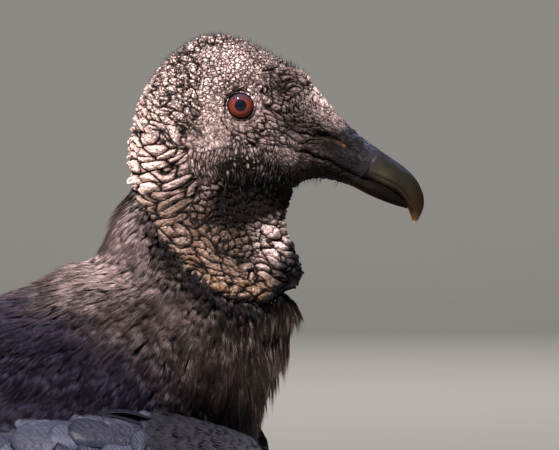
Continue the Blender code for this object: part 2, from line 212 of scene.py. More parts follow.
def pebbles(cells: Array) -> tuple[Array, Array]:
    """Rounded cushions that meet in creases, from the same cell noise as the material's.

    Args:
        cells: Where to read them, with cushions about 1 apart.

    Returns:
        The height of the cushion from 0 to 1, and a random number for it.
    """
    mesh = bpy.data.meshes.new("cells")
    mesh.from_pydata(cells.tolist(), [], [])
    holder = linked("cells", mesh)
    holder.modifiers.new("cells", "NODES").node_group = cell_tree()
    read = settled(holder)
    rows = (fetched(read.attributes[name].data, "value", 1) for name in ("near", "tag", "edge"))
    near, tag, edge = (row.astype(np.float32) for row in rows)
    bpy.data.meshes.remove(read)
    inward = edge / (edge + ROUNDNESS * near + 1e-6)
    return 1 - (1 - inward) ** 2, tag


# ---------------------------------------------------------------- pieces
@dataclass
class Soup:
    """Points, faces and named values of a piece before it becomes a mesh."""

    points: Array  # places in millimetres from the point between the eyes
    faces: Faces  # corner numbers of each face, outwards
    values: dict[str, Array] = field(default_factory=dict)  # named numbers or vectors, one for each point
    # named places on a flat map, one pair for each point
    patches: dict[str, Array] = field(default_factory=dict)


def joined(soups: Sequence[Soup]) -> Soup:
    """Several soups as one, where a value that one of them lacks is 0."""
    faces: Faces = []
    start = 0
    for soup in soups:
        faces += [tuple(corner + start for corner in face) for face in soup.faces]
        start += len(soup.points)
    values = {}
    for name in sorted({name for soup in soups for name in soup.values}):
        wide = next(s.values[name] for s in soups if name in s.values).shape[1:]
        values[name] = np.concatenate([s.values.get(name, np.zeros((len(s.points), *wide))) for s in soups])
    patches = {}
    for name in sorted({name for soup in soups for name in soup.patches}):
        rows = [s.patches.get(name, np.zeros((len(s.points), 2))) for s in soups]
        patches[name] = np.concatenate(rows)
    return Soup(np.concatenate([s.points for s in soups]), faces, values, patches)


def sheet_faces(rows: int, columns: int, closed: bool = False) -> Faces:
    """Quads of a grid of points, row after row.

    Args:
        rows: Number of rows of points.
        columns: Number of points in a row.
        closed: Whether each row runs round to its start.

    Returns:
        The corners of each quad.
    """
    across = columns if closed else columns - 1
    i, k = np.meshgrid(np.arange(rows - 1), np.arange(across), indexing="ij")
    after = (k + 1) % columns
    corners = (i * columns + k, i * columns + after, (i + 1) * columns + after, (i + 1) * columns + k)
    return [tuple(face) for face in np.stack(corners, -1).reshape(-1, 4).tolist()]


def flipped(faces: Sequence[tuple[int, ...]], start: int = 0) -> Faces:
    """Faces turned inside out, with their corner numbers moved on."""
    return [tuple(corner + start for corner in reversed(face)) for face in faces]


def tube_faces(rows: int, columns: int) -> Faces:
    """Quads of rings that run round to their start, with a cap at each end."""
    last = (rows - 1) * columns
    caps = [tuple(reversed(range(columns))), tuple(range(last, last + columns))]
    return sheet_faces(rows, columns, True) + caps


def whole_turn(count: int) -> Array:
    """Angles that divide a circle evenly."""
    return np.linspace(0, 2 * math.pi, count, endpoint=False)


def stacked(*columns: Array | float) -> Array:
    """Rows from columns of numbers, of which some may be one number alone."""
    return np.stack(np.broadcast_arrays(*columns), axis=-1)


def directions(points: Array) -> tuple[Array, Array]:
    """Unit vectors down a closed grid of points, and away from it."""
    around = np.roll(points, -1, axis=1) - np.roll(points, 1, axis=1)
    along = unit(np.gradient(points, axis=0))
    return along, unit(np.cross(around, along))


def plane_grid(across: Array, down: Array) -> Array:
    """Places on a flat map from one row and one column of numbers."""
    return stacked(across[None, :], down[:, None])


def linked(name: str, data: ID) -> Object:
    """A new object in the scene."""
    thing = bpy.data.objects.new(name, data)
    bpy.context.scene.collection.objects.link(thing)
    return thing


def fetched(items: Any, key: str, width: int = 3) -> Array:
    """One number, or a row of some, for each of a mesh's points or values."""
    numbers = np.empty(len(items) * width)
    items.foreach_get(key, numbers)
    return numbers.reshape(-1, width) if width > 1 else numbers


def attach(mesh: Mesh, name: str, numbers: Array) -> None:
    """Stores a number or a vector on each point of a mesh."""
    kind, value = ("FLOAT", "value") if numbers.ndim == 1 else ("FLOAT_VECTOR", "vector")
    held = mesh.attributes.new(name, kind, "POINT")
    held.data.foreach_set(value, numbers.astype(np.float32).ravel())


def lay_flat(mesh: Mesh, patches: dict[str, Array]) -> None:
    """Writes named flat maps on a mesh, from a pair of numbers for each point."""
    corners = np.empty(len(mesh.loops), np.int32)
    mesh.loops.foreach_get("vertex_index", corners)
    for key, pairs in patches.items():
        mesh.uv_layers.new(name=key).uv.foreach_set("vector", pairs[corners].astype(np.float32).ravel())


class Bench:
    """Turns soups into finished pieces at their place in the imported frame."""

    def __init__(self) -> None:
        """Finds the point between the eyes."""
        corners = [np.array(corner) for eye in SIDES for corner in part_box(f"eye_{eye}")]
        self.origin: Array = np.mean(corners, axis=0)

    def world(self, points: Array) -> Array:
        """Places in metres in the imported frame."""
        return np.asarray(points) * MM + self.origin

    def surface(self, mesh: Mesh) -> tuple[Array, Faces]:
        """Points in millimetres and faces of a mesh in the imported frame."""
        points = (fetched(mesh.vertices, "co") - self.origin) / MM
        return points, [tuple(face.vertices) for face in mesh.polygons]

    def mesh(self, name: str, soup: Soup) -> Mesh:
        """A smooth mesh of a soup."""
        mesh = bpy.data.meshes.new(name)
        mesh.from_pydata(self.world(soup.points).tolist(), [], soup.faces)
        for key, numbers in soup.values.items():
            attach(mesh, key, numbers)
        lay_flat(mesh, soup.patches)
        mesh.shade_smooth()
        mesh.validate()
        return mesh

    def piece(self, name: str, soup: Soup, material: Material, slot: str) -> Object:
        """A finished piece that rides on the bird's one body."""
        return self.finished(name, self.mesh(name, soup), material, slot)

    def finished(self, name: str, mesh: Mesh, material: Material, slot: str) -> Object:
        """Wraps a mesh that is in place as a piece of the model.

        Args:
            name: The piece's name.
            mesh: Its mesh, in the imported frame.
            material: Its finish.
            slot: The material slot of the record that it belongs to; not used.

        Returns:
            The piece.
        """
        mesh.materials.clear()
        mesh.materials.append(material)
        piece = linked(name, mesh)
        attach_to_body(piece, BODY)
        LOG.info("%s: %d triangles", name, sum(len(face.vertices) - 2 for face in mesh.polygons))
        return piece


# ---------------------------------------------------------------- the body's form
@dataclass(frozen=True)
class Station:
    """A ring of the body, whose plane stands on the line from its top to its bottom point."""

    top: Pair  # highest point in the side view
    bottom: Pair  # lowest point in the side view
    side: float  # half width
    egg: float  # how far the width moves towards the top, or towards the bottom below 0
    power: float  # superellipse exponent of the outline


STATIONS = {
    "bill base": Station((56.5, -18), (45.5, -32), 7.2, -0.05, 2.2),
    "nostril": Station((47, -10.8), (36.5, -29.2), 8.8, -0.12, 2.2),
    "cere": Station((38.5, -2.2), (29.5, -28.6), 10.8, -0.16, 2.2),
    "lores": Station((31, 6.2), (24.5, -30), 13.6, -0.12, 2.2),
    "forehead": Station((24.3, 14.4), (21.4, -32.4), 16.4, -0.06, 2.3),
    "brow": Station((13, 20.6), (19.7, -36.5), 18.2, 0, 2.4),
    "front of crown": Station((0.6, 26.6), (18.3, -41.2), 19.6, 0.02, 2.4),
    "crown": Station((-13.3, 28.8), (17.5, -44.6), 20.7, 0.03, 2.4),
    "back of crown": Station((-25.5, 22.3), (17.7, -47.2), 21.6, 0.03, 2.4),
    "occiput": Station((-34.6, 12.5), (18.3, -49.8), 22.4, 0.02, 2.4),
    "nape": Station((-40.9, 1.8), (19.3, -52.6), 22.8, 0, 2.4),
    "upper neck": Station((-44, -9.5), (20.7, -56.2), 23.4, -0.02, 2.4),
    "middle neck": Station((-44.9, -19.5), (22.4, -60.8), 24.4, -0.06, 2.6),
    "throat fold": Station((-44, -28), (23.6, -66.5), 25.6, -0.1, 2.8),
    "feather line": Station((-43.6, -32.5), (19.6, -73.1), 29, -0.1, 2.8),
    "ruff": Station((-49.5, -41), (25.3, -79), 34, 0, 2.3),
    "lower ruff": Station((-53.2, -49.5), (24.4, -85.5), 40, 0, 2.3),
    "neck base": Station((-58, -57.8), (21.8, -92.5), 46.5, 0.02, 2.3),
    "crop": Station((-67, -62), (17.6, -103), 54, 0.04, 2.3),
    "shoulders": Station((-80.5, -68.6), (10, -120), 62, 0.04, 2.3),
    "mantle": Station((-97, -76), (1, -141), 68, 0.03, 2.3),
    "breast": Station((-118, -86), (-11, -166), 72, 0, 2.3),
    "back": Station((-142, -98), (-40, -192), 74, 0, 2.3),
    "belly": Station((-168, -112), (-82, -208), 72, 0, 2.3),
    "loins": Station((-194, -127), (-126, -214), 66, 0, 2.3),
    "rump": Station((-218, -142), (-168, -212), 55, 0, 2.2),
    "vent": Station((-240, -155), (-205, -204), 41, 0, 2.2),
    "tail root": Station((-258, -167), (-236, -196), 28, 0, 2.2),
}
PLACE = {name: index for index, name in enumerate(STATIONS)}


@dataclass(frozen=True)
class Swell:
    """A soft swell of the face, or a hollow below 0: where, how far it reaches and how high."""

    centre: Pair
    reach: Pair
    height: float


@dataclass
class Chart:
    """A surface as a grid of points, row after row down the body and round from the top."""

    points: Array  # the grid, in millimetres
    normals: Array  # outward unit vectors
    along: Array  # unit vectors down the body
    flat: Array  # where each point lies on the unrolled body, from 0 to 1 both ways


@dataclass(frozen=True)
class BodyForm:
    """Head, neck and trunk as one smooth form through the stations."""

    swells: tuple[Swell, ...] = (  # hollows and swells of the face
        Swell((0, 0), (8.5, 8), -2.8),
        Swell((4, 10.5), (12, 4), 1.3),
        Swell((17, -4), (8, 7), -1.2),
        Swell((-12, -22), (12, 10), 1.2),
        Swell((-20, 2), (8, 9), -0.8),
        Swell((13, -17), (5, 4), 1),
        Swell((38, -16.5), (8, 3), -1),
        Swell((22, -62), (8, 14), 6),
    )
    swell_band: float = 7.0  # how near the middle plane the swells fade out
    ring_points: int = 720  # points of a ring before it is divided evenly

    def rings(self, places: Array, turns: Array) -> Array:
        """Points at shares of the way round each ring.

        Args:
            places: Station numbers, fractions among them.
            turns: Shares of the way round, from the top over the left side.

        Returns:
            The points, ring by ring.
        """
        rows = np.array([(*s.top, *s.bottom, s.side, s.egg, s.power) for s in STATIONS.values()])
        rows = smooth_rows(rows, np.asarray(places, float))
        angle = np.linspace(0, 2 * math.pi, self.ring_points + 1)
        bend = 2 / rows[:, 6:7]
        up = np.sign(np.cos(angle)) * np.abs(np.cos(angle)) ** bend
        out = np.sign(np.sin(angle)) * np.abs(np.sin(angle)) ** bend * (1 + rows[:, 5:6] * up)
        middle = (rows[:, 0:2] + rows[:, 2:4]) / 2
        arm = (rows[:, 0:2] - rows[:, 2:4]) / 2
        x = middle[:, :1] + arm[:, :1] * up
        z = middle[:, 1:] + arm[:, 1:] * up
        dense = np.stack([x, rows[:, 4:5] * out, z], axis=-1)
        steps = np.linalg.norm(np.diff(dense, axis=1), axis=-1)
        run = np.concatenate([np.zeros((len(rows), 1)), np.cumsum(steps, axis=1)], axis=1)
        even = np.empty((len(rows), len(turns), 3))
        for row, (ring, lengths) in enumerate(zip(dense, run)):
            for axis in range(3):
                even[row, :, axis] = np.interp(turns * lengths[-1], lengths, ring[:, axis])
        return self.swelled(even)

    def swelled(self, points: Array) -> Array:
        """Moves points of the face sideways by its hollows and swells."""
        x, y, z = np.moveaxis(points, -1, 0)
        push = sum(s.height * blob(x, z, s.centre, s.reach) for s in self.swells)
        away = 1 - np.exp(-((y / self.swell_band) ** 2))
        return np.stack([x, y + push * away * np.sign(y), z], axis=-1)

    def even_places(self, first: str, last: str, rows: int) -> Array:
        """Station numbers that space the rings evenly between two stations.

        The spacing is measured half along the back and half along the flank.
        """
        fine = np.linspace(PLACE[first], PLACE[last], 600)
        lines = self.rings(fine, np.array([0.0, 0.25]))
        run = np.concatenate([[0.0], np.cumsum(np.linalg.norm(np.diff(lines, axis=0), axis=-1).mean(axis=1))])
        return np.interp(np.linspace(0, run[-1], rows), run, fine)

    def chart(self, places: Array, columns: int) -> Chart:
        """The surface as a closed grid, with its directions."""
        turns = np.arange(columns) / columns
        points = self.rings(places, turns)
        along, normals = directions(points)
        return Chart(points, normals, along, plane_grid(turns, places / (len(STATIONS) - 1)))


# ---------------------------------------------------------------- relief of the bare skin
@dataclass(frozen=True)
class Folds:
    """Cushions of skin of one kind, with creases between them."""

    length: float  # size along the fold
    width: float  # size across it
    height: float  # how far the cushions stand out
    spots: tuple[tuple[Pair, Pair], ...]  # where they lie in the side view: centre and reach of each patch
    tilt: float = 0.0  # slope of the folds at the pivot, rising towards the bill
    bend: float = 0.0  # how much the slope grows for each millimetre forward
    pivot: float = 0.0  # x of the pivot
    seed: int = 1  # which cushions
    extra_crease_shade: float = 0.0  # how much more painted shade and bump the creases get than the height alone gives them

    def weight(self, x: Array, z: Array) -> Array:
        """How much the skin is of this kind."""
        return sum(blob(x, z, centre, reach) for centre, reach in self.spots)

    def cells(self, points: Array) -> Array:
        """Where points lie among the cushions, which are 1 apart."""
        ahead = points[:, 0] - self.pivot
        slope = self.tilt + 0.5 * self.bend * ahead
        level = points[:, 2] - slope * ahead
        run = points[:, 0] * np.sqrt(1 + (self.tilt + self.bend * ahead) ** 2)
        across = level / self.width
        cells = np.stack([run / self.length + 0.41 * across, points[:, 1] / self.length, across], axis=1)
        return cells + 17.3 * self.seed


@dataclass(frozen=True)
class Crease:
    """A furrow of the skin, or a ridge where its depth is below 0, along a line in the side view."""

    line: tuple[Pair, ...]
    depth: float
    width: float

    def nearness(self, x: Array, z: Array) -> Array:
        """How near points lie to the furrow, 1 in it."""
        least = np.full(x.shape, 1e9)
        for (x0, z0), (x1, z1) in zip(self.line, self.line[1:]):
            span = (x1 - x0) ** 2 + (z1 - z0) ** 2
            t = np.clip(((x - x0) * (x1 - x0) + (z - z0) * (z1 - z0)) / span, 0, 1)
            least = np.minimum(least, np.hypot(x - x0 - t * (x1 - x0), z - z0 - t * (z1 - z0)))
        return np.exp(-((least / self.width) ** 2))


@dataclass(frozen=True)
class Relief:
    """Folds, lumps and creases of the bare head and neck."""

    hem: tuple[Pair, ...] = (  # lower edge of the bare skin, as x and z
        (-50, -29.5), (-43, -31), (-39.7, -39.1), (-36.8, -43.6), (-33.2, -48.4),
        (-29.6, -54.8), (-24.8, -60), (-20.4, -64.8), (-15.6, -68.4), (-8.8, -74.4),
        (0, -76.8), (9.6, -76.4), (18, -72.6), (26, -71),
    )
    kinds: tuple[Folds, ...] = (  # the kinds of folds
        Folds(1.5, 1.4, 0.3, (((-3, 16), (15, 11)),), seed=3),
        Folds(4.8, 3.5, 0.8, (((-28, 15), (13, 11)), ((-8, 30), (16, 6))), -0.2, seed=4),
        Folds(6, 3.4, 0.9, (((-29, -6), (11, 8)),), -0.4, seed=5),
        Folds(7.4, 3.8, 1.3, (((-37, -23), (12, 13)), ((-29, -39), (9, 11))),
              -0.05, 0.034, -42, 6),
        Folds(6.8, 3.9, 1.3, (((-25, -53), (11, 8)), ((-10, -64), (12, 6.5))), -0.25, seed=7),
        Folds(3.3, 2.8, 1.05, (((-5, -43), (11, 10)), ((1, -53), (6, 6))), 0.2, seed=8),
        Folds(7.8, 3.9, 1.2, (((17, -60), (9, 12)), ((20, -62), (8, 12))), -0.12, seed=9),
        Folds(7, 4.6, 1.2, (((0, -73), (14, 6)),), 0.1, seed=10),
        Folds(3.4, 3, 0.9, (((10, -37), (12, 7)),), 0, seed=11),
        Folds(2.9, 2.5, 0.9, (((14, -1), (9, 9)), ((5, -12), (9, 4))), -0.2, seed=12),
        Folds(6.5, 3.2, 0.95, (((20, 11), (7.5, 7)),), -0.25, seed=13),
        Folds(8.5, 2.3, 0.7, (((27, -10), (9, 3.8)),), -0.22, seed=14),
        Folds(2.6, 1.8, 0.5, (((28, 0), (6, 6)),), -0.5, seed=15),
        Folds(3.4, 1, 0.3, (((28, -22), (14, 5.5)), ((40, -27), (14, 4))), -0.35, seed=16, extra_crease_shade=0.3),
        Folds(1.3, 4.6, 0.25, (((0, -22.5), (17, 6.5)),), seed=17, extra_crease_shade=0.75),
        Folds(5, 1.6, 0.4, (((46, -14), (11, 7)),), -0.62, seed=19),
        Folds(1.7, 2, 0.4, (((-12, -11), (8, 7)),), seed=18),
    )
    creases: tuple[Crease, ...] = (  # single furrows and ridges
        Crease(
            ((13.6, -15.5), (21.6, -17.3), (27.6, -18.6), (36.2, -22.8), (42.4, -25.3), (49, -28.8)), 1.8, 0.9
        ),
        Crease(((15, -11), (24, -11.4), (32.5, -10.6), (36.5, -13)), 0.9, 0.8),
        Crease(((31, -9.3), (37.5, -12.4), (43, -16), (50, -19.4)), 2, 1),
        Crease(((43, -13.4), (48, -17), (53, -18.6)), 0.8, 0.6),
        Crease(((50, -19.2), (52, -21.5), (49, -25.5)), 0.7, 0.8),
        Crease(((9, 14.4), (14, 15.6), (19.5, 17.6)), 0.7, 0.7),
        Crease(((9.3, 5.1), (15, 5.6), (21.3, 7.2)), 0.8, 0.8),
        Crease(((-8.4, -4.6), (-4.6, -9.6), (0.2, -14.3)), 0.6, 0.45),
        Crease(((-36, 1), (-27, -3.6), (-18, -9.4)), 0.8, 0.6),
        Crease(((-30, 7), (-25, 3), (-20, -3)), 0.5, 0.5),
        Crease(((-36, -8), (-29, -10.6), (-22, -11.6)), 0.6, 0.6),
        Crease(((4, -14), (8, -17.6), (9, -21)), 0.9, 0.8),
    )
    lumps: tuple[Swell, ...] = (  # single knobs, as swells
        Swell((11.7, -13.8), (2.4, 1.7), 1.5),
        Swell((9.4, -16.6), (2.4, 1.6), 1.3),
        Swell((-17.5, -9), (3.4, 4), -1.8),
        Swell((-27, -14), (6, 5), 0.9),
        Swell((22, 9), (5, 3.4), 0.9),
        Swell((9, -35), (15, 7), -3.2),
        Swell((-2, -24), (15, 4.5), 0.8),
    )
    side_only: float = 6.0  # how near the middle plane the single furrows fade out
    boldness: float = 1.7  # how far all cushions stand out, as a share of their height
    floor_weight: float = 0.03  # least weight of the first kind, so that no skin is without folds
    eye_reach: float = 10.5  # how far the wrinkles round an eye reach

    def above_hem(self, points: Array) -> Array:
        """Height of points over the lower edge of the bare skin."""
        edge = np.array(self.hem)
        return points[:, 2] - np.interp(points[:, 0], edge[:, 0], edge[:, 1])

    def read(self, points: Array) -> dict[str, Array]:
        """Relief of points on the smooth form.

        Args:
            points: Places in millimetres.

        Returns:
            The height in millimetres, how deep in a crease each point lies from 0 to 1, and a
            random number for each cushion.
        """
        warped = points + soft_noise(points / 8.0, 21) * 1.9
        x, y, z = points.T
        strayed = points + soft_noise(points / 5.0, 28) * 1.6
        weights = np.stack([kind.weight(strayed[:, 0], strayed[:, 2]) for kind in self.kinds])
        weights[0] += self.floor_weight
        ranked = np.sort(weights, axis=0)
        border = 1 - np.exp(-(1 - ranked[-2] / ranked[-1]) / 0.12)
        chosen = np.argmax(weights, axis=0)
        every = np.stack([kind.cells(warped) for kind in self.kinds])
        cells = every[chosen, np.arange(len(points))]
        cells = cells + soft_noise(cells * 1.1, 22) * 0.26 + soft_noise(cells * 2.7, 29) * 0.08
        boss, extra_crease_shade = np.array([(kind.height, kind.extra_crease_shade) for kind in self.kinds])[chosen].T
        tops, tags = pebbles(cells)
        second, _ = pebbles(cells * np.array(FINER) + 5.0)
        crease = (1 - tops) ** 2 * np.minimum(1.0, boss / 0.8 + 0.25) * 0.8
        calm = 1 - 0.35 * (1 - border) * np.clip(boss, 0, 1)
        height = self.boldness * boss * (calm * (tops * (0.75 + 0.5 * tags) - 0.6) + 0.4 * (second - 0.6))
        broad, _ = pebbles(warped / 6.5)
        height += 0.5 * (broad - 0.6) * blob(x, z, (-18.0, 14.0), (26.0, 22.0))
        side = 1 - np.exp(-((y / self.side_only) ** 2))
        wander = soft_noise(points / 6.0, 23) * 1.5 + soft_noise(points / 2.2, 26) * 0.5
        fade = 0.65 + 0.6 * soft_noise(points / 7.0, 27)[:, 1]
        for furrow in self.creases:
            near = furrow.nearness(x + wander[:, 0], z + wander[:, 2]) * side * np.clip(fade, 0.15, 1.0)
            height -= furrow.depth * near
            crease = np.maximum(crease, near * 0.95)
        for lump in self.lumps:
            rise = blob(x, z, lump.centre, lump.reach) * side
            height += lump.height * rise
            crease *= 1 - 0.6 * rise * (lump.height > 1.0)
        grain, _ = pebbles(points / 1.4)
        height += 0.2 * (grain - 0.6)
        height, crease, ring = self.round_eye(points, height, crease)
        horn = ramp(x - 0.4 * z, 55.0, 62.0)
        return {
            "height": height * (1 - 0.85 * horn),
            "crease": np.clip(crease * (1 - 0.7 * horn), 0, 1),
            "tag": tags,
            "boss": np.minimum(boss + extra_crease_shade, 1.0) * (1 - ring) * (1 - 0.8 * horn),
            "cell": cells,
        }

    def round_eye(self, points: Array, height: Array, crease: Array) -> tuple[Array, Array, Array]:
        """Lays ring-shaped wrinkles round each eye over the other relief, and says where."""
        x, _, z = points.T
        away = np.hypot(x, z)
        share = (1 - ramp(away, self.eye_reach - 3.0, self.eye_reach)) * ramp(away, 0.0, 2.0)
        turn = np.arctan2(z, x)
        side = 9 * np.sign(points[:, 1])
        tops, _ = pebbles(np.stack([np.cos(turn) * 2.6, np.sin(turn) * 2.6 + side, away / 1.25], axis=1))
        height = height * (1 - share) + share * 0.45 * (tops - 0.6)
        crease = crease * (1 - share) + share * 0.7 * (1 - tops)
        return height, crease, share


# ---------------------------------------------------------------- materials
class Term:
    """A number on its way through a material's nodes."""

    def __init__(self, shader: Shader, socket: Any) -> None:
        """Wraps an output socket."""
        self.shader = shader
        self.socket = socket

    def _with(self, operation: str, *operands: Any) -> Term:
        """A Math node on this and other operands, in their order."""
        node = self.shader.node("ShaderNodeMath", {"operation": operation}, *operands)
        return Term(self.shader, node.outputs[0])

    def __add__(self, other: Term | float) -> Term:
        """The sum."""
        return self._with("ADD", self, other)

    def __sub__(self, other: Term | float) -> Term:
        """The difference."""
        return self._with("SUBTRACT", self, other)

    def __rsub__(self, other: Term | float) -> Term:
        """The difference from a number."""
        return self._with("SUBTRACT", other, self)

    def __mul__(self, other: Term | float) -> Term:
        """The product."""
        return self._with("MULTIPLY", self, other)

    def __truediv__(self, other: Term | float) -> Term:
        """The quotient."""
        return self._with("DIVIDE", self, other)

    def __pow__(self, other: Term | float) -> Term:
        """The power."""
        return self._with("POWER", self, other)

    def __neg__(self) -> Term:
        """The negative."""
        return self * -1.0

    __radd__ = __add__
    __rmul__ = __mul__

    def wave(self) -> Term:
        """The sine."""
        return self._with("SINE", self)

    def size(self) -> Term:
        """The value without its sign."""
        return self._with("ABSOLUTE", self)

    def step(self, low: float, high: float) -> Term:
        """A smooth step from 0 at low to 1 at high."""
        settings = {"interpolation_type": "SMOOTHSTEP"}
        node = self.shader.node("ShaderNodeMapRange", settings, self, low, high, 0.0, 1.0)
        return Term(self.shader, node.outputs[0])


class Shader(Tree):
    """A node material whose maths is written as expressions."""

    def __init__(self, name: str) -> None:
        """Starts the material of one finish with one Principled BSDF."""
        self.material = bpy.data.materials.new(name)
        self.material.use_nodes = True
        super().__init__(self.material.node_tree)
        self.surface = self.tree.nodes["Principled BSDF"]
        self.place = self.node("ShaderNodeTexCoord").outputs["Object"]

    def mark(self, name: str) -> Term:
        """A named value of the mesh."""
        node = self.node("ShaderNodeAttribute", {"attribute_name": name})
        return Term(self, node.outputs["Fac"])

    def side_view(self, origin: Array) -> tuple[Term, Term]:
        """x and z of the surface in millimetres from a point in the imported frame."""
        split = self.node("ShaderNodeSeparateXYZ", None, self.place)
        return tuple(Term(self, split.outputs[k]) * 1000.0 - origin[k] / MM for k in (0, 2))

    def stretched(self, scale: Colour, turn: Colour = (0.0, 0.0, 0.0)) -> Any:
        """The surface's place, turned and then stretched."""
        turned = self.node("ShaderNodeMapping", {"vector_type": "POINT"}, self.place, None, turn)
        longer = self.node("ShaderNodeVectorMath", {"operation": "MULTIPLY"}, turned.outputs[0], scale)
        return longer.outputs[0]

    def noise(self, scale: float, detail: float = 2.0, roughness: float = 0.5, vector: Any = None) -> Term:
        """Soft noise from 0 to 1, with scale features to the metre."""
        place = self.place if vector is None else vector
        node = self.node("ShaderNodeTexNoise", None, place, None, scale, detail, roughness)
        return Term(self, node.outputs[0])

    def attribute(self, name: str) -> Any:
        """A named vector of the mesh."""
        return self.node("ShaderNodeAttribute", {"attribute_name": name}).outputs["Vector"]

    def cushions(self, place: Any, scale: float = 1.0, stray: float = CELL_STRAY) -> tuple[Term, Term]:
        """Rounded cushions that meet in creases.

        Args:
            place: Where to read them.
            scale: Cushions to each unit of the place.
            stray: How far they stray from even rows.

        Returns:
            Their height from 0 to 1, and a random number for each.
        """
        common = {"Vector": place, "Scale": scale, "Randomness": stray}
        rim = self.node("ShaderNodeTexVoronoi", {"feature": "DISTANCE_TO_EDGE"}, **common)
        cell = self.node("ShaderNodeTexVoronoi", {"feature": "F1"}, **common)
        edge, near = Term(self, rim.outputs["Distance"]), Term(self, cell.outputs["Distance"])
        outward = 1.0 - edge / (edge + near * ROUNDNESS + 1e-6)
        tag = self.node("ShaderNodeSeparateColor", None, cell.outputs["Color"]).outputs[0]
        return 1.0 - outward * outward, Term(self, tag)

    def blend(self, share: Term | float, below: Any, above: Any, how: str = "MIX") -> Any:
        """A colour between two, as the share goes from 0 to 1."""
        settings = {"data_type": "RGBA", "blend_type": how, "clamp_factor": True}
        unused = [None] * 5
        return self.node("ShaderNodeMix", settings, share, *unused, below, above).outputs[2]

    def layers(self, tone: Any, *coats: tuple[Any, ...]) -> Any:
        """A colour under coats of others: the share, the colour and, if it isn't plain, the mix of each."""
        for share, above, *how in coats:
            tone = self.blend(share, tone, above, *how)
        return tone

    def bump(self, height: Term, depth: float) -> Any:
        """A normal from a height of 0 to 1 that stands for a depth in millimetres."""
        return self.node("ShaderNodeBump", None, Strength=1.0, Distance=depth * MM, Height=height).outputs[0]

    def finish(self, **sockets: Any) -> Material:
        """Sets the sockets of the surface, with _ for a space in a name."""
        for key, value in sockets.items():
            self.feed(self.surface.inputs[key.replace("_", " ")], value)
        return self.material


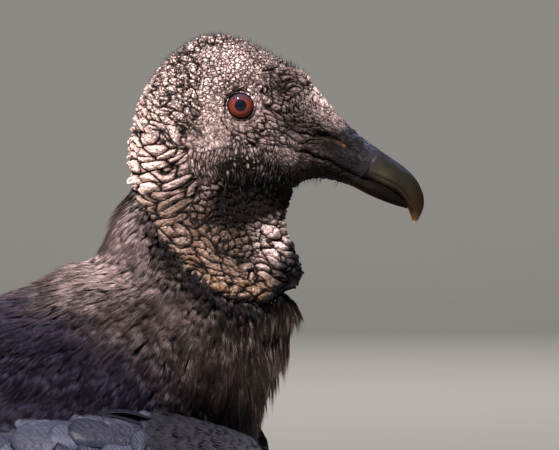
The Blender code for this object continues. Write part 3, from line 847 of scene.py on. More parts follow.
@dataclass(frozen=True)
class SkinFinish:
    """Bare warty skin, from cream folds on the nape to the blue-grey cere, and the scaled legs, with painted
    shade in hollows and creases, painted glints, painted sunlight on the nape, painted light in the nostril
    and a painted sky sheen on the cere.
    """

    base: Colour = (0.25, 0.175, 0.168)  # middle tone of the face
    pale_and_glint: Colour = (0.86, 0.66, 0.64)  # pale tone of random cushions, blotches and stroke tops, and painted glints on single granules
    cream: Colour = (0.8, 0.61, 0.545)  # folds of the nape, whose cream is partly painted sunlight
    ochre: Colour = (0.19, 0.118, 0.07)  # lumps along the feather line
    lilac: Colour = (0.88, 0.68, 0.66)  # blocks of the throat, made paler as painted light on the shaded right edge of the lobe
    slate: Colour = (0.012, 0.011, 0.015)  # cere
    dusk: Colour = (0.003, 0.002, 0.0016)  # painted shade in the hollow under the jaw and on faces turned from the key, over skin that is darker there
    fold_shade: Colour = (0.35, 0.26, 0.22)  # painted shade that darkens each fold towards its flanks
    shade_and_black: Colour = (0.004, 0.003, 0.0027)  # painted shade in creases and pits, and black of single granules
    leg: Colour = (0.5, 0.48, 0.45)  # scales of the legs

    def build(self) -> Material:
        """The skin's material."""
        s = Shader("bare_skin")
        crease, tag, grain, boss = (s.mark(name) for name in ("crease", "tag", "grain", "boss"))
        slate, dusk = s.mark("slate"), s.mark("dusk")
        blotch = s.noise(60.0, 3.0, 0.6)
        freckle = s.noise(420.0, 3.0, 0.65)
        wander = s.node("ShaderNodeTexNoise", None, s.place, None, 420.0, 3.0).outputs[1]
        strayed = s.node("ShaderNodeVectorMath", {"operation": "MULTIPLY_ADD"}, wander, (0.002,) * 3, s.place)
        bead, luck = s.cushions(strayed.outputs[0], 640.0, 1.0)
        cell = s.attribute("cell")
        fold, _ = s.cushions(cell)
        finer = s.node("ShaderNodeVectorMath", {"operation": "MULTIPLY_ADD"}, cell, FINER, (5.0,) * 3)
        knob, _ = s.cushions(finer.outputs[0])
        horny = s.layers(
            self.slate,
            (blotch.step(0.3, 0.7) * 0.7, (0.021, 0.018, 0.023)),
            # painted blue sky sheen along the top of the cere
            (s.mark("sheen") * freckle.step(0.38, 0.65), (0.05, 0.06, 0.11)),
            # painted light seen through the open nostril
            (s.mark("amber"), (0.42, 0.2, 0.05)),
        )
        tone = s.layers(
            self.base,
            (blotch.step(0.35, 0.7), self.pale_and_glint),
            # cream of the nape folds, partly painted sunlight
            (s.mark("cream"), self.cream),
            # lilac of the throat, paler as painted light on the lobe's shaded edge
            (s.mark("lilac"), self.lilac),
            ((tag - 0.5) * 0.9, self.pale_and_glint),
            ((0.5 - tag) * 0.7, self.base),
            (s.mark("ochre"), self.ochre),
            (slate, horny),
            (s.mark("leg"), s.blend(blotch, self.leg, (0.3, 0.28, 0.26))),
            (s.mark("plume"), (0.014, 0.012, 0.012)),
            (freckle.step(0.45, 0.65) * (1.0 - slate) * 0.5, self.base, "MULTIPLY"),
            # painted glints on single granules
            (grain * luck.step(0.5, 0.95) * 0.6, self.pale_and_glint),
            (grain * (1.0 - luck.step(0.05, 0.45)) * 0.35, self.shade_and_black),
            # painted shade in the pits between granules
            ((1.0 - bead).step(0.2, 0.75) * (grain * 0.8 + 0.08), self.shade_and_black),
            # painted shade on the flanks of each fold
            ((1.0 - fold).step(0.0, 0.8) * boss * 0.6, self.fold_shade, "MULTIPLY"),
            # painted shade in hollows and on faces turned from the key, with darker skin on the neck
            (dusk, self.dusk),
            (s.mark("fringe") * fold.step(0.6, 0.95) * luck.step(0.2, 0.9) * 0.4, self.pale_and_glint),
            # painted shade in the creases between knobs and folds, and in the creases of the relief
            ((1.0 - knob).step(0.45, 0.95) * boss * 0.2, self.shade_and_black),
            ((1.0 - fold).step(0.52, 0.95) * boss * 0.97, self.shade_and_black),
            (crease.step(0.15, 0.75), self.shade_and_black),
        )
        dull = (1.0 - bead) * grain + (1.0 - fold) * boss + dusk * 0.5 + crease
        rough = 0.52 + s.noise(300.0) * 0.2 + dull.step(0.1, 1.2) * 0.35 - slate * 0.08
        ripple = s.noise(1500.0, 3.0, 0.6)
        beaded = bead * (grain * 0.75 + 0.2 - slate * 0.12)
        normal = s.bump(ripple * 0.5 + beaded + (fold * 0.9 + knob * 0.6) * boss, 0.65)
        return s.finish(Base_Color=tone, Roughness=rough, Normal=normal, Specular_IOR_Level=0.08)


# ---------------------------------------------------------------- skin
@dataclass
class Skin:
    """The one skin: bare head and neck, the body under the coat, and the legs."""

    form: BodyForm  # the body's form
    relief: Relief  # its folds
    bench: Bench  # where pieces are made
    head_voxel: float = 0.45  # size of the faces of head and neck
    kept_faces: float = 0.505  # share of them that is kept, most where the relief is sharp
    trunk_rows: int = 34  # rings from the ruff to the tail
    trunk_columns: int = 64  # points of those rings
    under: float = 3.0  # how far the skin of the neck runs on below its hem
    ruff_depth: float = 4.5  # how deep the skin lies under the ruff
    coat_depth: float = 9.0  # how deep it lies under the body's coat
    rim_bulge: float = 1.5  # how far the hem of the bare skin stands over the ruff
    hem_stray: float = 3.0  # how far single cushions reach over the hem
    lid_rings: int = 26  # rings of the lids' own surface
    lid_points: int = 140  # points of those rings
    lid_reach: float = 9.6  # its outer radius
    lid_opening: float = 5.15  # inner radius of the lids
    eyeball: Pair = (11.9, 7.6)  # middle of an eyeball from the middle plane, and its radius
    leg_voxel: float = 1.7  # size of the leg skin's faces
    # painted light seen through the open nostril, along its lower edge
    nostril_glow: Crease = Crease(((37.3, -12.9), (39.5, -14), (41.5, -15.5)), 0, 0.45)
    dark_skin_and_shade_spots: tuple[tuple[Pair, Pair, float], ...] = (  # where painted shade lies and where the skin is darker: centre, reach and share
        ((9, -35), (17, 10), 1.6), ((0, -24), (17, 6.5), 0.8), ((-6, -16), (13, 6), 0.35),
        ((16, 12), (10, 7), 0.42), ((-17.5, -9), (4, 5), 0.6),
        ((38, -28), (14, 4.5), 0.8), ((-4, -44), (12, 11), 0.8), ((-24, -42), (10, 14), 0.52),
        ((22, -9), (14, 9), 0.68), ((20, 4), (11, 12), 0.55), ((2, -60), (10, 8), 0.6),
        ((36, -14), (9, 9), 0.6), ((30, -22), (12, 7), 0.45), ((4, -12), (12, 6), 0.4),
    )

    def build(self, finish: Material) -> Object:
        """Makes the skin piece.

        Args:
            finish: The skin's material.

        Returns:
            The piece, which stands for all flesh.
        """
        head = self.form.chart(self.form.even_places("bill base", "neck base", 200), 256)
        faces = sheet_faces(*head.points.shape[:2], True)
        tree = BVHTree.FromPolygons(head.points.reshape(-1, 3).tolist(), faces)
        lids = [self.lid(tree, way) for way in SIDES.values()]
        soups = joined([self.bare(head), self.trunk(), *lids, *self.limbs()])
        skin = self.bench.piece("skin", soups, finish, "bare_skin")
        flesh = ["head", "neck", "collar", "trunk"]
        flesh += [f"{part}_{side}" for part in ("thigh", "shank", "wing") for side in SIDES]
        flesh += [f"toe_{side}_{toe}" for side in SIDES for toe in TOES]
        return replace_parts(skin, *flesh, "tail")

    def dressed(self, points: Array, normals: Array) -> tuple[Array, dict[str, Array]]:
        """Raises the relief on points of the smooth form.

        Args:
            points: Places on the form, one row each.
            normals: Outward unit vectors there.

        Returns:
            The raised points, and the named values for the material.
        """
        found = self.relief.read(points)
        above = self.relief.above_hem(points) + self.hem_stray * (found["tag"] - 0.5)
        bare = ramp(above, -0.5, 0.7)
        shown = ramp(above, 0.2, 1.6)
        deep = self.ruff_depth + (self.coat_depth - self.ruff_depth) * ramp(-points[:, 0], 45.0, 80.0)
        lip = self.rim_bulge * np.exp(-(((above - 2.6) / 3.0) ** 2)) * (points[:, 2] < -28)
        lift = bare * (found["height"] + lip) - (1 - bare) * deep
        crease = found["crease"] * shown
        kept = {name: found[name] for name in ("tag", "boss", "cell")}
        values = {"crease": crease, "plume": 1 - shown, **kept, **self.tones(points, above)}
        return points + normals * lift[:, None], values

    def tones(self, points: Array, above: Array) -> dict[str, Array]:
        """How far each point takes each tint and each painted light and shade, from 0 to 1."""
        x, _, z = points.T
        wander = soft_noise(points / 7.0, 31)[:, 0]
        # cream of the nape folds, partly painted sunlight
        nape = ramp(-x + 5 * wander, 14.0, 34.0) * ramp(-z, -14.0, 6.0) * (1 - 0.6 * ramp(-z, 26.0, 46.0))
        nape = np.maximum(nape, 1.2 * blob(x, z, (-27.0, 3.0), (15.0, 13.0)))
        # lilac of the throat, paler as painted light on the lobe's shaded edge
        throat = ramp(x + 4 * wander, 4.0, 12.0) * ramp(-z, 44.0, 54.0) * ramp(above, 2.0, 8.0)
        bib = (1 - ramp(above + 4 * wander, 5.0, 13.0)) * ramp(-z, 50.0, 60.0) * (1 - ramp(x, 16.0, 24.0))
        bib = np.maximum(bib, 0.8 * ramp(-z, 30.0, 42.0) * (1 - ramp(x, 0.0, 8.0)))
        # painted shade in hollows and on faces turned from the key, and darker skin on the neck
        dusk = sum(share * blob(x + 2 * wander, z, centre, reach) for centre, reach, share in self.dark_skin_and_shade_spots)
        cere = ramp(x - 0.45 * z + 3 * wander, 37.0, 46.0)
        nostril_glow = self.nostril_glow.nearness(x, z)
        return {
            "cream": np.clip(nape * 0.8, 0, 1),
            "lilac": throat,
            "ochre": np.clip(bib, 0, 1),
            "dusk": np.clip(dusk, 0, 1),
            "slate": np.maximum(cere, nostril_glow),
            # painted light seen through the open nostril
            "amber": nostril_glow,
            "fringe": blob(x + wander, z, (0.0, -23.0), (17.0, 6.0)),
            # painted blue sky sheen along the top of the cere
            "sheen": cere * (1 - ramp(19.7 - 0.643 * x - z + 2 * wander, 1.0, 6.0)),
            "grain": self.granular(x, z) * (1 - cere),
        }

    def granular(self, x: Array, z: Array) -> Array:
        """How far fine granules cover the skin, from 0 to 1."""
        crown = blob(x, z, (-8.0, 18.0), (26.0, 15.0)) + 0.5 * blob(x, z, (-26.0, -4.0), (16.0, 16.0))
        jaw = blob(x, z, (-2.0, -22.0), (17.0, 8.0))
        return np.clip(0.3 + crown - jaw, 0, 1)

    def bare(self, head: Chart) -> Soup:
        """Head and neck with even small faces, to just below the hem."""
        soup = Soup(head.points.reshape(-1, 3), tube_faces(*head.points.shape[:2]))
        form = linked("head form", self.bench.mesh("head form", soup))
        points, normals, faces = self.remeshed(form, self.head_voxel)
        points, normals, faces = self.above_ruff(points, normals, faces)
        near_eye = 1 - ramp(np.hypot(points[:, 0], points[:, 2]), self.lid_reach - 1.6, self.lid_reach - 0.4)
        raised, values = self.dressed(points, normals)
        raised[:, 1] -= np.sign(points[:, 1]) * 2.4 * near_eye * (np.abs(points[:, 1]) > 5)
        return self.thinned(Soup(raised, faces, values))

    def thinned(self, soup: Soup) -> Soup:
        """The same surface with fewer faces where it is smooth."""
        thing = linked("thick", self.bench.mesh("thick", soup))
        thing.modifiers.new("thin", "DECIMATE").ratio = self.kept_faces
        mesh = settled(thing)
        values = {}
        for key, numbers in soup.values.items():
            kind, width = ("value", 1) if numbers.ndim == 1 else ("vector", 3)
            values[key] = fetched(mesh.attributes[key].data, kind, width)
        thin = Soup(*self.bench.surface(mesh), values)
        bpy.data.meshes.remove(mesh)
        return thin

    def above_ruff(self, points: Array, normals: Array, faces: Faces) -> tuple[Array, Array, Faces]:
        """The part of a surface that stands over the hem, closed again below."""
        kept = self.relief.above_hem(points) > -self.under
        number = np.cumsum(kept) - 1
        faces = [tuple(int(number[c]) for c in face) for face in faces if all(kept[c] for c in face)]
        shape = bmesh.new()
        corners = [shape.verts.new(point) for point in points[kept].tolist()]
        for face in faces:
            shape.faces.new([corners[c] for c in face])
        bmesh.ops.holes_fill(shape, edges=shape.edges, sides=0)
        shape.verts.index_update()
        faces = [tuple(corner.index for corner in face.verts) for face in shape.faces]
        shape.free()
        return points[kept], normals[kept], faces

    def trunk(self) -> Soup:
        """The body under its coat, from the ruff to the tail root."""
        places = self.form.even_places("feather line", "tail root", self.trunk_rows)
        chart = self.form.chart(places, self.trunk_columns)
        deep = self.coat_depth + 2.0 * (1 - ramp(places, PLACE["neck base"], PLACE["crop"]))
        points = chart.points - chart.normals * deep[:, None, None]
        points = points.reshape(-1, 3)
        return Soup(points, tube_faces(*chart.points.shape[:2]), {"plume": np.ones(len(points))})

    def lid(self, tree: BVHTree, way: float) -> Soup:
        """The skin round an eye, with the rim of the lids, as rings round the eyeball."""
        side, radius = self.eyeball
        share = np.linspace(0.0, 1.0, self.lid_rings)
        away = self.lid_opening - 0.35 + (self.lid_reach - self.lid_opening + 0.35) * share**1.35
        turn = whole_turn(self.lid_points)
        oval = 1 + 0.035 * np.cos(2 * (turn + 0.9)) - 0.03 * np.sin(turn)
        reach = away[:, None] * (1 + (oval - 1)[None, :] * (1 - share[:, None] ** 2))
        x, z = reach * np.cos(turn), reach * np.sin(turn)
        base = self.side_height(tree, x, z, way)
        ball = side + np.sqrt(np.maximum(radius**2 - reach**2, 0.0))
        rim = np.interp(away, (4.8, 5.1, 5.3, 5.65, 6.1, 6.6), (-0.6, 0.0, 0.5, 0.75, 0.45, 0.1))[:, None]
        flat = np.stack([x, base * way, z], axis=-1)
        _, normals = directions(flat)
        normals *= np.sign(normals[..., 1:2]) * way
        points, values = self.dressed(flat.reshape(-1, 3), normals.reshape(-1, 3))
        raised = points.reshape(flat.shape)
        settle = ramp(away, 5.8, 7.0)[:, None, None]
        lip = np.stack([x, (ball + rim) * way, z], axis=-1)
        mixed = lip * (1 - settle) + raised * settle
        mixed[-2:] -= np.array([0.0, way, 0.0]) * np.array([0.15, 0.5])[:, None, None]
        # dark lid margin, and painted shade in the groove round the lids
        dark = (1 - ramp(away, 5.3, 5.65))[:, None] * np.ones_like(x)
        groove = 0.6 * np.exp(-(((away - 6.45) / 0.35) ** 2))[:, None] * np.ones_like(x)
        crease = 0.85 * np.maximum(dark, groove).ravel()
        values["crease"] = np.clip(np.maximum(values["crease"], crease), 0, 1)
        faces = sheet_faces(self.lid_rings, self.lid_points, True)
        return Soup(mixed.reshape(-1, 3), flipped(faces) if way > 0 else faces, values)

    def side_height(self, tree: BVHTree, x: Array, z: Array, way: float) -> Array:
        """How far out the smooth form lies at places of the side view."""
        out = np.empty(x.shape)
        for index in np.ndindex(x.shape):
            hit = tree.ray_cast(Vector((x[index], 80.0 * way, z[index])), Vector((0, -way, 0)))[0]
            out[index] = abs(hit.y)
        return out

    def limbs(self) -> list[Soup]:
        """Leg skin and the dark cores of thighs, wings and tail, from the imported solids."""
        soups = []
        for side in SIDES:
            leg = [f"shank_{side}", *(f"toe_{side}_{toe}" for toe in TOES)]
            points, normals, faces = self.remeshed(merged_copy(leg, 0.45), self.leg_voxel)
            tops, _ = pebbles(points / np.array([3.0, 3.0, 2.1]))
            ones = np.ones(len(points))
            # the crease value paints shade between the scales
            values = {"leg": ones, "crease": 0.75 * (1 - tops), "tag": 0.5 * ones}
            soups.append(Soup(points + normals * (0.35 * tops - 0.3)[:, None], faces, values))
        for name, depth in (("thigh", 6.0), ("wing", 4.0)):
            for side in SIDES:
                points, normals, faces = self.remeshed(merged_copy([f"{name}_{side}"]), 4.0)
                soups.append(Soup(points - normals * depth, faces, {"plume": np.ones(len(points))}))
        return soups

    def remeshed(self, thing: Object, voxel: float) -> tuple[Array, Array, Faces]:
        """The surface of a throwaway object in even faces.

        Args:
            thing: The object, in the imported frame.
            voxel: Size of the faces in millimetres.

        Returns:
            Points, outward unit vectors and faces.
        """
        remesh = thing.modifiers.new("one skin", "REMESH")
        remesh.mode = "VOXEL"
        remesh.voxel_size = voxel * MM
        smooth = thing.modifiers.new("soften", "SMOOTH")
        smooth.factor, smooth.iterations = 0.5, 4
        mesh = settled(thing)
        points, faces = self.bench.surface(mesh)
        normals = fetched(mesh.vertices, "normal")
        bpy.data.meshes.remove(mesh)
        return points, normals, faces


def merged_copy(nodes: Sequence[str], grow: float = 0.0) -> Object:
    """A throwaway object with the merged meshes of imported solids, grown outwards by some millimetres."""
    shape = bmesh.new()
    for node in nodes:
        shape.from_mesh(bpy.data.objects[node].data)
    bmesh.ops.remove_doubles(shape, verts=shape.verts, dist=1e-6)
    shape.normal_update()
    for point in shape.verts:
        point.co += point.normal * grow * MM
    mesh = bpy.data.meshes.new("copy")
    shape.to_mesh(mesh)
    shape.free()
    return linked("copy", mesh)


def settled(thing: Object) -> Mesh:
    """The plain mesh of an object with its modifiers done, after which the object is gone."""
    graph = bpy.context.evaluated_depsgraph_get()
    done = thing.evaluated_get(graph)
    mesh = bpy.data.meshes.new_from_object(done, preserve_all_data_layers=True, depsgraph=graph)
    old = thing.data
    bpy.data.objects.remove(thing)
    bpy.data.meshes.remove(old)
    return mesh


# ---------------------------------------------------------------- eyes, bill and claws
@dataclass(frozen=True)
class EyeFinish:
    """A red-brown iris round a wide pupil, under a wet clear coat, with the upper lid's shadow painted on it.
    """

    pupil: float = 2.35  # radius of the pupil in millimetres
    iris: float = 4.75  # radius of the iris
    inner: Colour = (0.088, 0.0175, 0.009)  # colour of the iris by the pupil
    outer: Colour = (0.07, 0.013, 0.006)  # colour of the iris at its rim

    def build(self, origin: Array) -> Material:
        """The eye's material, placed from the point between the eyes."""
        s = Shader("eye")
        ahead, up = s.side_view(origin)
        away = (ahead * ahead + up * up) ** 0.5
        streak = s.noise(1.0, 4.0, 0.7, s.stretched((900.0, 0.0, 900.0)))
        tone = s.layers(
            self.inner,
            (away.step(self.pupil + 0.3, self.iris - 0.3), self.outer),
            (streak.step(0.4, 0.7) * 0.5, (0.1, 0.02, 0.008)),
            # painted shadow of the upper lid, tinted blue by the sky
            (up.step(0.5, 4.2) * 0.85, (0.02, 0.015, 0.028)),
            (away.step(self.iris - 0.35, self.iris + 0.1), (0.006, 0.005, 0.006)),
        )
        tone = s.blend(away.step(self.pupil - 0.12, self.pupil + 0.16), (0.002, 0.0025, 0.007), tone)
        gloss = {"Specular_IOR_Level": 0.03, "Coat_Weight": 0.14, "Coat_Roughness": 0.05}
        return s.finish(Base_Color=tone, Roughness=0.6, **gloss)


@dataclass
class Eyes:
    """Two eyeballs with the bulge of the cornea."""

    bench: Bench  # where pieces are made
    side: float = 11.9  # middle of an eyeball from the middle plane
    radius: float = 7.55  # its radius
    bulge: float = 0.35  # how far the cornea stands out
    rings: int = 48  # rings from the front to the back
    points: int = 96  # points of a ring

    def build(self, finish: Material) -> None:
        """Makes both eyes."""
        for side, way in SIDES.items():
            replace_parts(self.bench.piece(f"eyeball_{side}", self.ball(way), finish, "eye"), f"eye_{side}")

    def ball(self, way: float) -> Soup:
        """One eyeball, its pole outwards."""
        lift = np.linspace(0.004, math.pi - 0.004, self.rings)[:, None]
        turn = whole_turn(self.points)[None, :]
        radius = self.radius + self.bulge * (1 - ramp(self.radius * np.sin(lift), 3.0, 5.2)) * (lift < 1.5)
        x, z = radius * np.sin(lift) * np.cos(turn), radius * np.sin(lift) * np.sin(turn)
        y = way * (self.side + radius * np.cos(lift)) * np.ones_like(turn)
        faces = tube_faces(self.rings, self.points)
        return Soup(np.stack([x, y, z], axis=-1).reshape(-1, 3), flipped(faces) if way < 0 else faces)


class Mandible(Enum):
    """The two halves of the bill."""

    UPPER = "upper"
    LOWER = "lower"


@dataclass(frozen=True)
class HornFinish:
    """Horn of the bill: blue-grey under the cere, olive, then amber at the hook, with a pale point and a
    painted blue sky sheen along the culmen.
    """

    # painted blue sky sheen along the culmen
    slate: Colour = (0.021, 0.025, 0.045)
    olive: Colour = (0.0085, 0.008, 0.0045)
    amber: Colour = (0.013, 0.0055, 0.0014)
    point: Colour = (0.3, 0.25, 0.18)
    gape: Colour = (0.004, 0.003, 0.0026)

    def build(self, half: Mandible, origin: Array) -> Material:
        """The horn's material for one half, placed from the point between the eyes."""
        s = Shader(f"horn_{half.value}")
        x, z = s.side_view(origin)
        cloud = s.noise(140.0, 3.0, 0.6)
        scratch = s.noise(1.0, 3.0, 0.6, s.stretched((500.0, 900.0, 2200.0), (0.0, 0.65, 0.0)))
        if half is Mandible.LOWER:
            tone = s.layers(
                self.gape,
                (cloud.step(0.35, 0.65), (0.009, 0.0065, 0.0055)),
                # painted shadow of the hook over the front of the lower bill
                ((x * 0.8 + z + cloud * 4.0).step(11.0, 15.0) * 0.9, (0.002, 0.0015, 0.0015)),
                (scratch.step(0.42, 0.62) * 0.8, (0.003, 0.0024, 0.0022)),
            )
            rough, depth, gloss = 0.6 + scratch * 0.3, 0.4, 0.02
        else:
            above = x * 0.643 + z + cloud * 4.0
            # painted blue sky sheen along the culmen
            culmen_sheen = above.step(16.5, 19.5) * (1.0 - x.step(66.0, 72.0)) * (scratch.step(0.3, 0.6) * 0.7 + 0.3)
            tone = s.layers(
                self.olive,
                ((-z + cloud * 4.0).step(30.0, 41.0), self.amber),
                ((1.0 - x.step(55.0, 64.0)) * (1.0 - above.step(10.0, 16.0)), (0.034, 0.031, 0.014)),
                (culmen_sheen, self.slate),
                ((1.0 - (x - z * 0.4 + cloud * 9.0).step(66.0, 73.0)) * 0.85, (0.012, 0.011, 0.0135)),
                ((-z).step(41.0, 45.5), (0.07, 0.032, 0.009)),
                ((-z).step(44.8, 46.4), self.point),
                (scratch.step(0.45, 0.75) * 0.25, (0.013, 0.0125, 0.0125)),
            )
            rough, depth, gloss = 0.34 + scratch * 0.2, 0.1, 0.09
        # painted shadow in the groove above the lower lip of the horn
        tone = s.blend(s.mark("crease") * 0.8, tone, (0.012, 0.01, 0.009))
        normal = s.bump(scratch * 0.6 + cloud * 0.4, depth)
        return s.finish(Base_Color=tone, Roughness=rough, Normal=normal, Specular_IOR_Level=gloss)


@dataclass
class Bill:
    """Upper and lower bill as smooth horns whose roots run in under the cere."""

    bench: Bench  # where pieces are made
    # culmen, cutting edge or keel and half width of each ring
    rows: dict[Mandible, tuple[tuple[Pair, Pair, float], ...]] = field(
        default_factory=lambda: {
            Mandible.UPPER: (
                ((56.5, -18), (48.4, -28.3), 7),
                ((61, -21), (53, -30.1), 6.6),
                ((65.9, -24.6), (58.4, -32.2), 6.1),
                ((70.2, -29.2), (62.4, -34.6), 5.4),
                ((72.8, -34.8), (65.2, -37.9), 4.4),
                ((73.1, -39.6), (67, -41.2), 3.1),
                ((71.7, -43.6), (68.1, -44.1), 1.8),
                ((69.9, -46.4), (68.9, -46.5), 0.5),
            ),
            Mandible.LOWER: (
                ((48.1, -27.4), (45.5, -32.2), 6.2),
                ((53.2, -29.2), (50.8, -35), 5.7),
                ((58, -31.3), (56.4, -37.4), 4.9),
                ((62, -34.2), (61.4, -39.2), 3.7),
                ((66.6, -38.6), (66.4, -40.6), 1.6),
            ),
        }
    )
    rings: int = 90  # rings of a finished half
    points: int = 64  # points of a ring
    power: float = 2.2  # superellipse exponent
    root: float = 2.5  # how far the horn runs in under the skin

    def build(self, finish: HornFinish) -> None:
        """Makes both halves."""
        for half in Mandible:
            horn = finish.build(half, self.bench.origin)
            piece = self.bench.piece(f"horn_{half.value}", self.horn(half), horn, "horn")
            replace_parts(piece, f"bill_{half.value}")

    def horn(self, half: Mandible) -> Soup:
        """One half, ring by ring from its root to its tip."""
        rows = np.array([(*top, *bottom, side) for top, bottom, side in self.rows[half]])
        rows = smooth_rows(rows, np.linspace(0, len(rows) - 1, self.rings))
        back = rows[:1] - np.array([[self.root, -0.62 * self.root, self.root, -0.62 * self.root, 0.5]])
        rows = np.concatenate([back, rows])
        turn = whole_turn(self.points)
        up, out = np.cos(turn), np.sin(turn)
        bend = 2 / self.power
        out = np.sign(out) * np.abs(out) ** bend
        high = np.sign(up) * np.abs(up) ** bend
        narrow = 1 - (0.1 * up if half is Mandible.UPPER else -0.06 * up)
        middle, arm = (rows[:, 0:2] + rows[:, 2:4]) / 2, (rows[:, 0:2] - rows[:, 2:4]) / 2
        x = middle[:, :1] + arm[:, :1] * high
        z = middle[:, 1:] + arm[:, 1:] * high
        y = rows[:, 4:5] * out * narrow
        crease = np.zeros_like(x)
        if half is Mandible.UPPER:
            groove = np.exp(-(((up + 0.52) / 0.13) ** 2))[None, :]
            fade = ramp(rows[:, 0], 56.5, 62.0)[:, None] * (1 - ramp(-rows[:, 3], 36.0, 42.0))[:, None]
            y = y * (1 - 0.09 * groove * fade)
            # the crease value paints shadow in this groove
            crease = np.maximum(crease, 0.45 * groove * fade)
        points = np.stack([x, y, z], axis=-1).reshape(-1, 3)
        return Soup(points, flipped(tube_faces(len(rows), self.points)), {"crease": crease.ravel()})


@dataclass(frozen=True)
class ClawFinish:
    """Black horn, worn paler along the claws."""

    base: Colour = (0.016, 0.014, 0.014)
    pale_tone: Colour = (0.07, 0.06, 0.055)

    def build(self) -> Material:
        """The claws' material."""
        s = Shader("claw_horn")
        scratch = s.noise(1.0, 3.0, 0.6, s.stretched((300.0, 900.0, 900.0)))
        tone = s.blend(scratch.step(0.45, 0.8), self.base, self.pale_tone)
        return s.finish(Base_Color=tone, Roughness=0.25 + scratch * 0.3, Normal=s.bump(scratch, 0.1))


@dataclass
class Claws:
    """The claws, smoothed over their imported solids."""

    bench: Bench  # where pieces are made
    grow: float = 0.35  # how far they are swollen, which the smoothing takes back

    def build(self, finish: Material) -> None:
        """Makes one piece for each foot."""
        for side in SIDES:
            nodes = [f"claw_{side}_{toe}" for toe in TOES]
            copy = merged_copy(nodes, self.grow)
            smooth = copy.modifiers.new("round", "SUBSURF")
            smooth.levels = smooth.render_levels = 2
            mesh = settled(copy)
            mesh.shade_smooth()
            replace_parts(self.bench.finished(f"claws_{side}", mesh, finish, "claw"), *nodes)


# ---------------------------------------------------------------- plumage
@dataclass
class Roots:
    """Where the tufts of a coat grow."""

    points: Array  # places in millimetres
    lie: Array  # unit vectors along the tufts
    out: Array  # unit vectors away from the body
    size: Array  # width, length and thickness of each tuft
    flat: Array  # its place on the unrolled body
    shade: Array  # how pale it is, from -1 to 1

    def kept(self, chosen: Array) -> Roots:
        """The chosen tufts alone."""
        return Roots(*(rows[chosen] for rows in vars(self).values()))


def scattered(chart: Chart, spacing: Callable[[Array], Array], seed: int) -> tuple[Array, ...]:
    """Random places on a chart, one for each spacing squared of its area.

    Args:
        chart: The surface.
        spacing: Distance between neighbours at places in millimetres, very large for none.
        seed: Which places.

    Returns:
        Points, outward vectors, vectors down the body and places on the unrolled body.
    """
    rng = np.random.default_rng(seed)
    p = chart.points
    right, down = np.roll(p, -1, axis=1)[:-1] - p[:-1], p[1:] - p[:-1]
    area = np.linalg.norm(np.cross(right, down), axis=-1)
    middle = p[:-1] + (right + down) / 2
    wanted = area / spacing(middle.reshape(-1, 3)).reshape(area.shape) ** 2
    count = np.floor(wanted + rng.random(area.shape)).astype(int).ravel()
    cell = np.repeat(np.arange(area.size), count)
    row, column = np.divmod(cell, p.shape[1])
    after = (column + 1) % p.shape[1]
    u, v = rng.random((2, len(cell), 1))

    def read(grid: Array) -> Array:
        """The grid's values at the places."""
        upper = grid[row, column] * (1 - u) + grid[row, after] * u
        lower = grid[row + 1, column] * (1 - u) + grid[row + 1, after] * u
        return upper * (1 - v) + lower * v

    turn = (column[:, None] + u) / p.shape[1]
    share = chart.flat[row, 0, 1:] * (1 - v) + chart.flat[row + 1, 0, 1:] * v
    return read(p), unit(read(chart.normals)), unit(read(chart.along)), np.concatenate([turn, share], axis=1)


class Tuft(Enum):
    """The shapes that a coat is made of, as many as its kinds of feather."""

    HAIR = "hair"
    LOCK = "lock"
    VANE = "vane"


